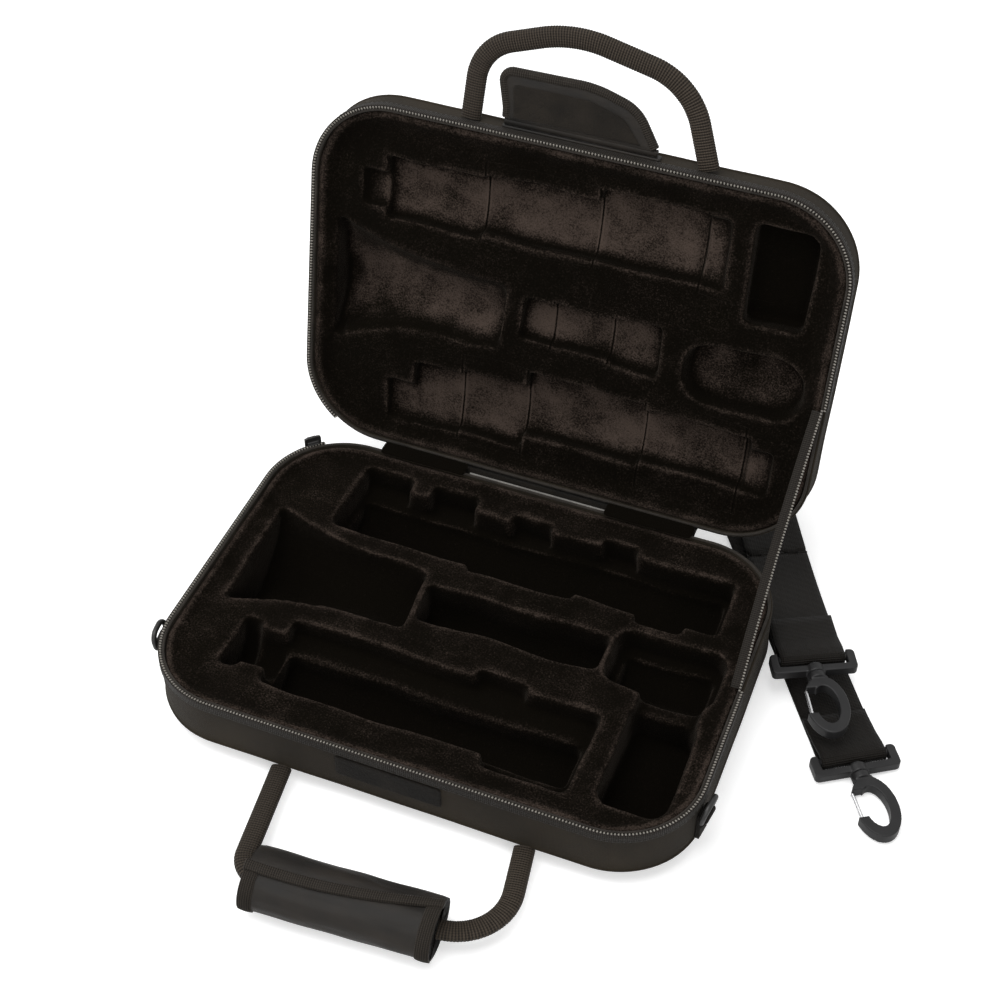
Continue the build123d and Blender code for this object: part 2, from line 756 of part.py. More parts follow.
def far_side(margin, mode):
    """Everything on the cover's side of a line through the seam and the fold."""
    dx = seam_point[0] - fold_point[0]
    dy = seam_point[1] - fold_point[1]
    size = math.hypot(dx, dy)
    across_line = (-dy / size, dx / size)
    a = (fold_point[0] - 4 * dx + margin * across_line[0], fold_point[1] - 4 * dy + margin * across_line[1])
    b = (seam_point[0] + 4 * dx + margin * across_line[0], seam_point[1] + 4 * dy + margin * across_line[1])
    c = (b[0] + far_off * across_line[0], b[1] + far_off * across_line[1])
    d = (a[0] + far_off * across_line[0], a[1] + far_off * across_line[1])
    with BuildLine() as corner_line:
        Polyline(a, b, c, d, close=True)
    make_face(corner_line.line.edges(), mode=mode)


with BuildPart() as grip_lining:
    with BuildSketch(across(grip_frame, grip_left)):
        grip_tube(0)
        far_side(-touch_gap / 2, Mode.SUBTRACT)
        block(-grip_bed, grip_bed, -bore_half_height - 1, -webbing_thickness / 2 - touch_gap)
    extrude(amount=grip_right - grip_left)
grip_lining.part.label = "grip_lining"
export_step(grip_lining.part, "parts/grip_lining.step")

with BuildPart() as grip_cover:
    with BuildSketch(across(grip_frame, grip_left)):
        grip_tube(0)
        far_side(touch_gap / 2, Mode.INTERSECT)
    extrude(amount=grip_right - grip_left)
grip_cover.part.label = "grip_cover"
export_step(grip_cover.part, "parts/grip_cover.step")

end_binding_bore = (grip_half_width + 0.05, grip_half_height + 0.05)

with BuildPart() as grip_end_bindings:
    for x in (grip_left, grip_right - end_binding_width):
        with BuildSketch(across(grip_frame, x)):
            Ellipse(end_binding_bore[0] + end_binding_thickness, end_binding_bore[1] + end_binding_thickness)
            Ellipse(*end_binding_bore, mode=Mode.SUBTRACT)
            far_side(touch_gap / 2, Mode.INTERSECT)
            block(-edge_binding_width, 4 * edge_binding_width, 0, 3 * grip_half_height, Mode.SUBTRACT)
        extrude(amount=end_binding_width)
grip_end_bindings.part.label = "grip_end_bindings"
export_step(grip_end_bindings.part, "parts/grip_end_bindings.step")

seam_normal = (seam_point[0] / grip_half_width**2, seam_point[1] / grip_half_height**2)
binding_turn = math.degrees(math.atan2(-seam_normal[0], seam_normal[1]))
binding_height = seam_point[1] + touch_gap + edge_binding_thickness

with BuildPart() as grip_edge_binding:
    with BuildSketch(across(grip_frame, grip_left)):
        with Locations(Location((seam_point[0], binding_height, 0), binding_turn)):
            SlotOverall(edge_binding_width, 2 * edge_binding_thickness)
        Ellipse(grip_half_width + touch_gap, grip_half_height + touch_gap, mode=Mode.SUBTRACT)
    extrude(amount=grip_right - grip_left)
grip_edge_binding.part.label = "grip_edge_binding"
export_step(grip_edge_binding.part, "parts/grip_edge_binding.step")

# ======================================================================
# Lid handle and closing flap
# ======================================================================

lid_front = lid_y(-half_depth)
lid_handle_plane = on_lid(base_height + lid_handle_level)

with BuildPart() as lid_handle_webbing:
    lid_points = [(x, lid_front + leg_out + out) for x, out in lid_handle_points]
    with BuildLine(lid_handle_plane) as lid_path:
        FilletPolyline(*lid_points, radius=list(lid_handle_radii))
    lid_start = Plane(
        origin=lid_path.line @ 0,
        x_dir=(lid_path.line % 0).cross(lid_handle_plane.z_dir),
        z_dir=lid_path.line % 0,
    )
    with BuildSketch(lid_start):
        SlotOverall(webbing_width, webbing_thickness)
    sweep(path=lid_path.line)
    for x in (lid_points[0][0], lid_points[-1][0]):
        with BuildSketch(across(lid_handle_plane, x - webbing_width / 2, lid_points[0][1])):
            Circle(webbing_thickness / 2)
        extrude(amount=webbing_width)
lid_handle_webbing.part.label = "lid_handle_webbing"
export_step(lid_handle_webbing.part, "parts/lid_handle_webbing.step")

flap_pivot = lid_front + patch_thickness + hook_patch_thickness + touch_gap + flap_thickness / 2
anchor_thickness = flap_pivot - lid_front - flap_thickness / 2 - touch_gap
flap_plane = on_lid(base_height + flap_level)


def flap_outline(inset):
    """Tongue outline of the closing flap, root side straight."""
    with BuildLine() as edge:
        points = [(x, flap_pivot + out) for x, out in flap_points]
        Polyline((flap_left, flap_pivot), *points, (flap_right, flap_pivot), close=True)
    make_face(edge.line.edges())
    fillet(vertices().sort_by(Axis.Y)[2:], flap_round)
    if inset:
        offset(amount=-inset, mode=Mode.REPLACE)


with BuildPart() as flap_anchor:
    anchor_foot = base_height + half_parting + tape_height + touch_gap
    with BuildSketch(on_lid(anchor_foot)):
        block(flap_left, flap_right, lid_front, lid_front + anchor_thickness)
    extrude(amount=-anchor_height)
flap_anchor.part.label = "flap_anchor"
export_step(flap_anchor.part, "parts/flap_anchor.step")

with BuildPart() as closing_flap:
    with BuildSketch(flap_plane.offset(-flap_thickness / 2)):
        flap_outline(flap_binding_width + 0.05)
        root_left = flap_left + flap_binding_width + 0.1
        block(root_left, flap_right - flap_root_end, flap_pivot, flap_pivot + flap_root_out)
    extrude(amount=flap_thickness)
    with BuildSketch(across(flap_plane, flap_left, flap_pivot)):
        Circle(flap_thickness / 2)
    extrude(amount=flap_right - flap_left)
closing_flap.part.label = "closing_flap"
export_step(closing_flap.part, "parts/closing_flap.step")

with BuildPart() as flap_binding:
    with BuildSketch(flap_plane.offset(-flap_thickness / 2 - flap_binding_extra)):
        flap_outline(0)
        offset(amount=-flap_binding_width, mode=Mode.SUBTRACT)
    extrude(amount=flap_thickness + 2 * flap_binding_extra)
    with BuildSketch(flap_plane.offset(-flap_thickness)):
        block(flap_left - spare, flap_right + spare, flap_pivot - spare, flap_pivot + flap_thickness / 2 + 1)
    extrude(amount=2 * flap_thickness, mode=Mode.SUBTRACT)
flap_binding.part.label = "flap_binding"
export_step(flap_binding.part, "parts/flap_binding.step")

with BuildPart() as flap_hook_patch:
    with BuildSketch(flap_plane.offset(flap_thickness / 2)):
        flap_outline(hook_patch_margin)
        patch_start = flap_pivot + hook_patch_margin
        block(flap_left - spare, flap_right + spare, flap_pivot - spare, patch_start, Mode.SUBTRACT)
    extrude(amount=hook_patch_thickness)
flap_hook_patch.part.label = "flap_hook_patch"
export_step(flap_hook_patch.part, "parts/flap_hook_patch.step")

# ======================================================================
# Shoulder strap: one length of webbing folded flat behind the case, a fitting at each end
# ======================================================================

strap_loop_hole = bar_diameter / 2 + bar_clearance
strap_loop = strap_loop_hole + strap_thickness
lower_level = strap_loop + strap_floor_gap
layer_step = strap_thickness + strap_layer_gap


def heading_plane(x, y, level, heading):
    """Level plane at a point, its x along a heading in degrees."""
    turn = math.radians(heading)
    return Plane(origin=(x, y, level), x_dir=(math.cos(turn), math.sin(turn), 0), z_dir=(0, 0, 1))


upper_plane = heading_plane(*upper_bar, upper_level, upper_heading)
lower_plane = heading_plane(*lower_bar, lower_level, lower_heading)


def behind(bar, heading):
    """Where a fitting's strap reaches the run behind the case, and how far that is."""
    turn = math.radians(heading)
    run = (strap_rear_line - bar[1]) / -math.sin(turn)
    return bar[0] - run * math.cos(turn), run


def strap_run(level, x, heading, length, start_angle, end_angle):
    """Flat run of webbing from a point on the rear line, each end cut along its fold."""
    half = strap_width / 2
    start = half / math.tan(math.radians(start_angle))
    end = half / math.tan(math.radians(end_angle))
    with BuildSketch(heading_plane(x, strap_rear_line, level, heading)) as flat:
        with BuildLine() as edge:
            near = ((-start, -half), (length - end, -half))
            Polyline(*near, (length + end, half), (start, half), close=True)
        make_face(edge.line.edges())
    extrude(flat.sketch, amount=strap_thickness)


def fold(level, x, heading, length):
    """Half-round bend that joins two layers along a fold line."""
    outer = strap_thickness + strap_layer_gap / 2
    plane = heading_plane(x, strap_rear_line, level + outer, heading)
    ends = Plane(origin=plane.from_local_coords((-length / 2, 0, 0)), x_dir=plane.y_dir, z_dir=plane.x_dir)
    with BuildSketch(ends) as bend:
        Circle(outer)
        Circle(strap_layer_gap / 2, mode=Mode.SUBTRACT)
        block(-3 * outer, 0, -3 * outer, 3 * outer, Mode.SUBTRACT)
    extrude(bend.sketch, amount=length)


def strap_end(plane, run, drop):
    """Webbing round the bar, sewn back on itself, and its run away from the fitting."""
    side = Plane(
        origin=plane.from_local_coords((0, strap_width / 2, 0)),
        x_dir=plane.x_dir,
        z_dir=-plane.y_dir,
    )
    top = strap_thickness * 2 - strap_loop
    with BuildSketch(side) as section:
        with BuildLine() as edge:
            under = ((-run, -strap_loop - drop), (-strap_doubling, -strap_loop), (0, -strap_loop))
            over = ((0, strap_loop), (-16, top), (-strap_doubling, top))
            back = ((-strap_doubling, top - strap_thickness), (-run, top - strap_thickness - drop))
            Polyline(*under, *over, *back, close=True)
        make_face(edge.line.edges())
        Circle(strap_loop)
        Circle(strap_loop_hole, mode=Mode.SUBTRACT)
    extrude(section.sketch, amount=strap_width)


lower_fold_x, lower_run = behind(lower_bar, lower_heading)
upper_fold_x, upper_run = behind(upper_bar, upper_heading)
lower_fold_heading = (lower_heading + 360) / 2
upper_fold_heading = upper_heading / 2
upper_flat = 70.0
levels = [strap_floor_gap + step * layer_step for step in range(4)]

with BuildPart() as shoulder_strap:
    strap_end(lower_plane, lower_run - strap_flat_end, 0)
    slant = lower_fold_heading - lower_heading - 180
    strap_run(levels[0], lower_fold_x, lower_heading, strap_flat_end + 1, slant, 90)
    fold(levels[0], lower_fold_x, lower_fold_heading, strap_width / math.sin(math.radians(-slant)))
    strap_run(levels[1], strap_left_turn, 0, lower_fold_x - strap_left_turn, 90, lower_fold_heading - 180)
    fold(levels[1], strap_left_turn, 90, strap_width)
    strap_run(levels[2], strap_left_turn, 0, upper_fold_x - strap_left_turn, 90, upper_fold_heading)
    upper_cut = strap_width / math.sin(math.radians(-upper_fold_heading))
    fold(levels[2], upper_fold_x, upper_fold_heading + 180, upper_cut)
    strap_run(levels[3], upper_fold_x, upper_heading, upper_flat, upper_fold_heading - upper_heading, 90)
    strap_end(upper_plane, upper_run - upper_flat, upper_level - strap_loop - levels[3])
shoulder_strap.part.label = "shoulder_strap"
export_step(shoulder_strap.part, "parts/shoulder_strap.step")


def strap_frame(plane):
    """Moulded frame: round bar for the webbing, two arms and a front bar with the swivel's boss."""
    with BuildSketch(plane) as flat:
        block(-frame_height / 2, frame_bar_end, -frame_width / 2, frame_width / 2)
        fillet(vertices(), 3)
        inner = frame_width / 2 - frame_arm
        block(-frame_height, frame_slot_end, -inner, inner, Mode.SUBTRACT)
    extrude(flat.sketch, amount=frame_height / 2, both=True)
    side = Plane(origin=plane.from_local_coords((0, frame_width / 2 - 1, 0)), z_dir=-plane.y_dir)
    with BuildSketch(side) as bar:
        Circle(bar_diameter / 2)
    extrude(bar.sketch, amount=frame_width - 2)
    front = Plane(origin=plane.from_local_coords((frame_slot_end, 0, 0)), z_dir=plane.x_dir)
    with BuildSketch(front) as boss:
        Circle(swivel_boss / 2)
    extrude(boss.sketch, amount=frame_boss_end - frame_slot_end)
    with BuildSketch(front) as hole:
        Circle(swivel_diameter / 2 + swivel_gap)
    extrude(hole.sketch, amount=frame_boss_end - frame_slot_end, mode=Mode.SUBTRACT)


def swivel_hook(plane):
    """Hook with its swivel post; the mouth of the hook is closed by the wire gate."""
    post_start = frame_slot_end - swivel_gap - 1.4
    for start, end, size in (
        (post_start, frame_slot_end - swivel_gap, swivel_head),
        (post_start, collar_end, swivel_diameter),
        (frame_boss_end + swivel_gap, collar_end, swivel_boss),
    ):
        with BuildSketch(Plane(origin=plane.from_local_coords((start, 0, 0)), z_dir=plane.x_dir)) as disc:
            Circle(size / 2)
        extrude(disc.sketch, amount=end - start)
    with BuildSketch(plane) as flat:
        with Locations(hook_middle):
            Ellipse(hook_half_length, hook_half_width)
        block(collar_end - 1, collar_end + 6, -5, 6)
        with Locations(hook_middle):
            Ellipse(eye_half_length, eye_half_width, mode=Mode.SUBTRACT)
        block(*gate_gap, -2 * hook_half_width, -3, Mode.SUBTRACT)
    extrude(flat.sketch, amount=hook_thickness / 2, both=True)


def wire_gate(plane):
    """Wire gate across the mouth of the hook."""
    start = gate_gap[0] + swivel_gap
    foot = plane.from_local_coords((start, -gate_line, 0))
    with BuildSketch(Plane(origin=foot, z_dir=plane.x_dir)) as wire:
        Circle(gate_diameter / 2)
    extrude(wire.sketch, amount=gate_gap[1] - swivel_gap - start)


with BuildPart() as strap_frame_upper:
    strap_frame(upper_plane)
strap_frame_upper.part.label = "strap_frame_upper"
export_step(strap_frame_upper.part, "parts/strap_frame_upper.step")

with BuildPart() as strap_hook_upper:
    swivel_hook(upper_plane)
strap_hook_upper.part.label = "strap_hook_upper"
export_step(strap_hook_upper.part, "parts/strap_hook_upper.step")

with BuildPart() as strap_gate_upper:
    wire_gate(upper_plane)
strap_gate_upper.part.label = "strap_gate_upper"
export_step(strap_gate_upper.part, "parts/strap_gate_upper.step")

with BuildPart() as strap_frame_lower:
    strap_frame(lower_plane)
strap_frame_lower.part.label = "strap_frame_lower"
export_step(strap_frame_lower.part, "parts/strap_frame_lower.step")

with BuildPart() as strap_hook_lower:
    swivel_hook(lower_plane)
strap_hook_lower.part.label = "strap_hook_lower"
export_step(strap_hook_lower.part, "parts/strap_hook_lower.step")

with BuildPart() as strap_gate_lower:
    wire_gate(lower_plane)
strap_gate_lower.part.label = "strap_gate_lower"
export_step(strap_gate_lower.part, "parts/strap_gate_lower.step")
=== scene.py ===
"""Looks for a zippered clarinet case that stands open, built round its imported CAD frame."""

import math

import bmesh
import bpy
import numpy as np
from mathutils import Matrix, Vector, noise


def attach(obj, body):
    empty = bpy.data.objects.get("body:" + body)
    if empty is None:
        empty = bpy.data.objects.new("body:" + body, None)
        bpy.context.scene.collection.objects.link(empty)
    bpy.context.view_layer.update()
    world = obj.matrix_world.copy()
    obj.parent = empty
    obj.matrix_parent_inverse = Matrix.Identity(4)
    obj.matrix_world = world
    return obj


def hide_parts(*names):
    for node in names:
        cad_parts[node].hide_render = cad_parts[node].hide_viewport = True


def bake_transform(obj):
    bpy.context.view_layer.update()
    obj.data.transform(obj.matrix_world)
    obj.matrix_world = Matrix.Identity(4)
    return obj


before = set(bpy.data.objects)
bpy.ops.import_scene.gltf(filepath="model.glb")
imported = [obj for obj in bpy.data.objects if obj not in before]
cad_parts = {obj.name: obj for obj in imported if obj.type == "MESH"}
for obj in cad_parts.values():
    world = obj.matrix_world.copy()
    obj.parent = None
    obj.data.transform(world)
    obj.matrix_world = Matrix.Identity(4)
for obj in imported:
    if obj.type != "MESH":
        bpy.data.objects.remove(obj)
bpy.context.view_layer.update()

mm = 0.001

# ---- sizes shared with the CAD part, in millimetres ----
half_width, half_depth, corner = 180.0, 124.0, 55.0
parting = 51.0
shut_height = 87.0
hinge = Vector((0.0, 125.5, 47.0))
open_angle = 103.0
base_crease, lid_crease, crease_inset = 13.4, 14.6, 17.0
rim_drop, wall = 2.6, 3.0
zip_foot_y, zip_head_y = 6.0, 11.0  # where the zipper leaves the right wall of the base and of the lid
webbing_width, webbing_thickness = 13.5, 7.0

home = Matrix.Identity(4)
hinge_at = Matrix.Translation(hinge * mm)
open_lid = hinge_at @ Matrix.Rotation(math.radians(-open_angle), 4, "X") @ hinge_at.inverted()
open_lid_mm = Matrix.Scale(1000, 4) @ open_lid @ Matrix.Scale(0.001, 4)


# ---- Shader wiring ----


class Signal:
    """One shader socket; sums and products of signals become Math nodes."""

    def __init__(self, finish, socket):
        self.finish = finish
        self.socket = socket

    def math(self, operation, *others):
        return self.finish.node("ShaderNodeMath", {"operation": operation}, dict(enumerate((self, *others))))

    def __add__(self, other):
        return self.math("ADD", other)

    __radd__ = __add__

    def __sub__(self, other):
        return self.math("SUBTRACT", other)

    def __rsub__(self, other):
        return self.finish.node("ShaderNodeMath", {"operation": "SUBTRACT"}, {0: other, 1: self})

    def __mul__(self, other):
        return self.math("MULTIPLY", other)

    __rmul__ = __mul__

    def wave(self, pitch):
        """Sine of a length, one wave per pitch."""
        return (self * (2 * math.pi / pitch)).math("SINE")

    def between(self, low, high):
        """0 at low, 1 at high, smooth in between."""
        sockets = {"Value": self, "From Min": low, "From Max": high}
        return self.finish.node("ShaderNodeMapRange", {"interpolation_type": "SMOOTHSTEP"}, sockets)


class Finish:
    """A material, or the world, and the nodes it is made of."""

    def __init__(self, name, owners=None):
        self.owner = (bpy.data.materials if owners is None else owners).new(name)
        self.owner.use_nodes = True
        self.tree = self.owner.node_tree
        self.tree.nodes.clear()

    def node(self, kind, settings=None, sockets=None, output=0):
        """A new node, its settings first and then its sockets; one of its outputs comes back."""
        made = self.tree.nodes.new(kind)
        for key, value in (settings or {}).items():
            setattr(made, key, value)
        for key, value in (sockets or {}).items():
            if isinstance(value, Signal):
                self.tree.links.new(value.socket, made.inputs[key])
            else:
                made.inputs[key].default_value = value
        return Signal(self, made.outputs[output]) if made.outputs else None

    def place(self, scale=(1, 1, 1)):
        """Object coordinates, stretched by a scale."""
        coords = self.node("ShaderNodeTexCoord", output=3)
        return self.node("ShaderNodeMapping", None, {"Vector": coords, "Scale": scale})

    def cloth_axes(self):
        """Width and length along a swept piece, in metres."""
        coords = self.node("ShaderNodeUVMap", {"uv_map": "cloth"})
        split = self.node("ShaderNodeSeparateXYZ", None, {"Vector": coords})
        return split, Signal(self, split.socket.node.outputs[1])

    def grain(self, scale, detail=2.0, roughness=0.5, stretch=(1, 1, 1)):
        """Noise on object coordinates, from 0 to 1."""
        sockets = {"Vector": self.place(stretch), "Scale": scale, "Detail": detail, "Roughness": roughness}
        return self.node("ShaderNodeTexNoise", None, sockets)

    def mix(self, factor, a, b):
        """A colour between two plain colours."""
        sockets = {0: factor, 6: shade(*a), 7: shade(*b)}
        return self.node("ShaderNodeMix", {"data_type": "RGBA"}, sockets, output=2)

    def bump(self, height, distance, strength=1.0, normal=None):
        sockets = {"Height": height, "Distance": distance, "Strength": strength}
        if normal:
            sockets["Normal"] = normal
        return self.node("ShaderNodeBump", None, sockets)

    def surface(self, **sockets):
        """Wire up a principled shader; the material comes back."""
        named = {key.replace("_", " "): value for key, value in sockets.items()}
        self.end_with(self.node("ShaderNodeBsdfPrincipled", None, named))
        return self.owner

    def end_with(self, shader, kind="ShaderNodeOutputMaterial"):
        self.node(kind, None, {"Surface": shader})


def shade(red, green, blue):
    return (red, green, blue, 1.0)


def woven_nylon():
    """Matt black packcloth: fine basket weave, dusty in places."""
    f = Finish("woven_nylon")
    across, along = f.cloth_axes()
    weave = across.wave(0.0011) * along.wave(0.0011)
    lint = f.grain(900.0, 3.0, 0.7)
    worn = f.grain(22.0, 3.0)
    tone = (worn * 0.55 + lint * 0.75 + weave * 0.12 - 0.2).between(0.0, 1.0)
    colour = f.mix(tone, (0.006, 0.0049, 0.0035), (0.035, 0.0265, 0.0165))
    normal = f.bump(weave + lint * 1.5, 0.00022, 0.7)
    normal = f.bump(worn, 0.0015, 0.25, normal)
    return f.surface(Base_Color=colour, Roughness=0.7 + lint * 0.2, Normal=normal, Sheen_Weight=0.03,
                     Sheen_Roughness=0.5, Specular_IOR_Level=0.10)


def plush():
    """Short black pile over foam, with a painted highlight where one attribute says (crests, lands, lid well
    floors);
    crease is how many millimetres it lies from a fold, along which a shade line and a highlight beside it are
    painted."""
    f = Finish("plush")
    # painted highlight: where the pile faces or catches the light, from the attribute stored on the trays
    highlight_mask = f.node("ShaderNodeAttribute", {"attribute_name": "painted_highlight"}, output=2)
    cloud = f.grain(45.0, 4.0, 0.62)
    streaks = f.grain(120.0, 4.0, 0.65, (0.5, 1.6, 0.5))
    pile = f.grain(900.0, 3.0, 0.8)
    tone = (highlight_mask * (0.4 + streaks * 0.7) + cloud * 0.25 + pile * 1.5 - 0.9).between(0.0, 1.0)
    fold = f.node("ShaderNodeAttribute", {"attribute_name": "crease"}, output=2)
    away = fold.math("ABSOLUTE")
    # painted shade along each fold, and a painted highlight just beside it
    dark = (1.0 - away * 1.3).between(0.0, 1.0)
    fold_highlight = (1.0 - (away - 1.3) * (away - 1.3) * 2.2).between(0.0, 1.0)
    painted_tone = (tone - dark * 0.8 + fold_highlight * highlight_mask * 0.30).between(0.0, 1.0)
    colour = f.mix(painted_tone, (0.0028, 0.0022, 0.0014), (0.058, 0.043, 0.035))
    normal = f.bump(pile + streaks * 0.6 - dark * 0.8, 0.0008, 0.8)
    return f.surface(Base_Color=colour, Roughness=0.95, Normal=normal, Sheen_Weight=0.06,
                     Sheen_Roughness=0.3, Sheen_Tint=shade(0.60, 0.50, 0.42), Specular_IOR_Level=0.02)


def satin():
    """Smooth padded nylon with soft creases."""
    f = Finish("satin_nylon")
    across, along = f.cloth_axes()
    weave = across.wave(0.0007) * along.wave(0.0007)
    creases = f.grain(60.0, 3.0, 0.5, (0.45, 1.0, 1.0))
    # the colour follows the creases: painted light on their ridges and painted shade in their folds
    colour = f.mix(creases.between(0.3, 0.8), (0.0045, 0.0036, 0.0026), (0.0160, 0.0122, 0.0088))
    normal = f.bump(weave, 0.00012, 0.4)
    normal = f.bump(creases, 0.0025, 0.55, normal)
    return f.surface(Base_Color=colour, Roughness=0.44 + creases * 0.16, Normal=normal,
                     Sheen_Weight=0.05, Sheen_Roughness=0.4, Specular_IOR_Level=0.22)


def webbing(name, rib, dark, light):
    """Ribbed tape; the ribs cross its length."""
    f = Finish(name)
    across, along = f.cloth_axes()
    ribs = along.wave(rib)
    yarns = across.wave(0.0016)
    fuzz = f.grain(1200.0, 2.0, 0.7)
    tone = (ribs * 0.28 + yarns * 0.12 + fuzz * 0.5 + 0.25).between(0.0, 1.0)
    colour = f.mix(tone, dark, light)
    normal = f.bump(ribs * 0.6 + yarns * 0.3 + fuzz * 0.7, 0.0004, 0.7)
    return f.surface(Base_Color=colour, Roughness=0.62, Normal=normal, Sheen_Weight=0.04,
                     Sheen_Roughness=0.4, Specular_IOR_Level=0.12)


def knit(name, scale, dark, light, roughness=0.8):
    """Cloth finish that needs no run of its own: small loops or hooks."""
    f = Finish(name)
    loops = f.grain(scale, 3.0, 0.75)
    patches = f.grain(scale * 0.06, 2.0)
    colour = f.mix((loops * 0.8 + patches * 0.6 - 0.3).between(0.0, 0.9), dark, light)
    normal = f.bump(loops, 0.0008, 0.8)
    return f.surface(Base_Color=colour, Roughness=roughness, Normal=normal, Sheen_Weight=0.04,
                     Sheen_Roughness=0.5, Specular_IOR_Level=0.12)


def moulded_plastic():
    """Satin black plastic with a faint moulding texture."""
    f = Finish("moulded_plastic")
    cloud = f.grain(90.0, 2.0)
    speck = f.grain(1400.0, 2.0)
    colour = f.mix(cloud, (0.006, 0.006, 0.0065), (0.015, 0.0145, 0.0145))
    normal = f.bump(speck, 0.00015, 0.35)
    return f.surface(Base_Color=colour, Roughness=0.36 + cloud * 0.14, Normal=normal,
                     Specular_IOR_Level=0.27)


def metal(name, dark, light, roughness, metallic):
    """Wire and small castings, a little uneven from plating and wear."""
    f = Finish(name)
    cloud = f.grain(240.0, 3.0)
    normal = f.bump(f.grain(1600.0, 2.0), 0.00008, 0.4)
    return f.surface(Base_Color=f.mix(cloud, dark, light), Roughness=roughness + cloud * 0.12,
                     Metallic=metallic, Normal=normal)


nylon_cloth = woven_nylon()
plush_pile = plush()
satin_cloth = satin()
handle_webbing = webbing("handle_webbing", 0.0017, (0.004, 0.0032, 0.0024), (0.050, 0.0390, 0.0285))
strap_webbing = webbing("strap_webbing", 0.0012, (0.0018, 0.0014, 0.0010), (0.0080, 0.0062, 0.0044))
ribbed_binding = webbing("ribbed_binding", 0.0014, (0.0045, 0.0037, 0.0029), (0.031, 0.0252, 0.0195))
zip_tape = webbing("zip_tape", 0.0013, (0.005, 0.0044, 0.0038), (0.024, 0.020, 0.016))
loop_pile = knit("loop_pile", 900.0, (0.0015, 0.0012, 0.0009), (0.013, 0.0102, 0.0072), 0.95)
hook_tape = knit("hook_tape", 1300.0, (0.0045, 0.0037, 0.0028), (0.020, 0.0158, 0.0115))
cord_piping = knit("cord_piping", 1500.0, (0.010, 0.0088, 0.0074), (0.046, 0.039, 0.032))
# the hinge seam's piping is coloured light grey to stand for a highlight along it: a painted highlight
highlight_piping = knit("highlight_piping", 1500.0, (0.10, 0.095, 0.088), (0.26, 0.25, 0.23), 0.4)
stitch_thread = knit("stitch_thread", 2500.0, (0.008, 0.007, 0.006), (0.040, 0.034, 0.028), 0.6)
zip_coil = metal("zip_coil", (0.10, 0.092, 0.080), (0.24, 0.22, 0.19), 0.34, 0.0)
black_plastic = moulded_plastic()
black_metal = metal("black_coated_metal", (0.010, 0.010, 0.010), (0.030, 0.029, 0.028), 0.32, 0.4)
steel_wire = metal("bright_steel_wire", (0.62, 0.62, 0.63), (0.80, 0.80, 0.81), 0.18, 1.0)


# ---- Mesh helpers ----


def finished(obj, material, body, slot, *nodes):
    """Give a piece its material and body, and let it stand for its CAD nodes; slot is not used."""
    obj.data.materials.clear()
    obj.data.materials.append(material)
    for face in obj.data.polygons:
        face.use_smooth = True
        face.material_index = 0
    if isinstance(body, str):
        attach(obj, body)
    else:
        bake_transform(obj)
    if nodes:
        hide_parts(*nodes)
    return obj


def new_piece(name, mesh):
    obj = bpy.data.objects.new(name, mesh)
    bpy.context.scene.collection.objects.link(obj)
    return obj


def built(name, form):
    """A piece from a bmesh, its faces turned outwards."""
    bmesh.ops.recalc_face_normals(form, faces=form.faces)
    mesh = bpy.data.meshes.new(name)
    form.to_mesh(mesh)
    form.free()
    return new_piece(name, mesh)


def applied(obj):
    """The same object with its modifiers built into its mesh."""
    bpy.context.view_layer.update()
    made = bpy.data.meshes.new_from_object(obj.evaluated_get(bpy.context.evaluated_depsgraph_get()))
    obj.modifiers.clear()
    obj.data = made
    return obj


def move_to(obj, places):
    """Put the vertices in new places."""
    obj.data.vertices.foreach_set("co", [c for place in places for c in place])
    obj.data.update()


def moulded(name, node, voxel, rounds, matrix=home, swell=None):
    """A copy of a CAD solid with its edges softened, as foam, cloth or moulded plastic has them."""
    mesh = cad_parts[node].data.copy()
    form = bmesh.new()
    form.from_mesh(mesh)
    bmesh.ops.remove_doubles(form, verts=form.verts, dist=0.00001)
    form.to_mesh(mesh)
    form.free()
    if "cloth" in mesh.attributes:
        mesh.attributes.remove(mesh.attributes["cloth"])
    mesh.transform(matrix.inverted())
    obj = new_piece(name, mesh)
    remesh = obj.modifiers.new("soft", "REMESH")
    remesh.mode = "VOXEL"
    remesh.voxel_size = voxel * mm
    smooth = obj.modifiers.new("rub", "SMOOTH")
    smooth.factor = 0.5
    smooth.iterations = rounds
    applied(obj)
    if swell:
        move_to(obj, [v.co + v.normal * swell(v.co) for v in obj.data.vertices])
    obj.data.transform(matrix)
    return obj


def softened(name, node, voxel, rounds, material, body, slot, **how):
    """A softened copy of a CAD solid, finished and standing for it."""
    return finished(moulded(name, node, voxel, rounds, **how), material, body, slot, node)


def running(points):
    """Length of a line up to each of its points."""
    total = [0.0]
    for a, b in zip(points, points[1:]):
        total.append(total[-1] + (b - a).length)
    return total


def skin(name, rings, lengths=None, closed=False):
    """A surface through rings of points, capped if it is open, with a cloth map in metres."""
    form = bmesh.new()
    layer = form.loops.layers.uv.new("cloth")
    grid = [[form.verts.new(p) for p in ring] for ring in rings]
    size = len(rings[0])
    lengths = lengths or running([ring[0] for ring in rings])
    middle = rings[len(rings) // 2]
    girths = running(middle + middle[:1])
    for i in range(len(rings) if closed else len(rings) - 1):
        here, there = grid[i], grid[(i + 1) % len(rings)]
        for j in range(size):
            k = (j + 1) % size
            face = form.faces.new((here[j], here[k], there[k], there[j]))
            corners = ((j, i), (j + 1, i), (j + 1, i + 1), (j, i + 1))
            for loop, (g, s) in zip(face.loops, corners):
                loop[layer].uv = (girths[g], lengths[s])
    if not closed:
        for ring in (grid[0], grid[-1][::-1]):
            face = form.faces.new(ring)
            for loop in face.loops:
                loop[layer].uv = (loop.vert.co.x, loop.vert.co.y)
    return built(name, form)


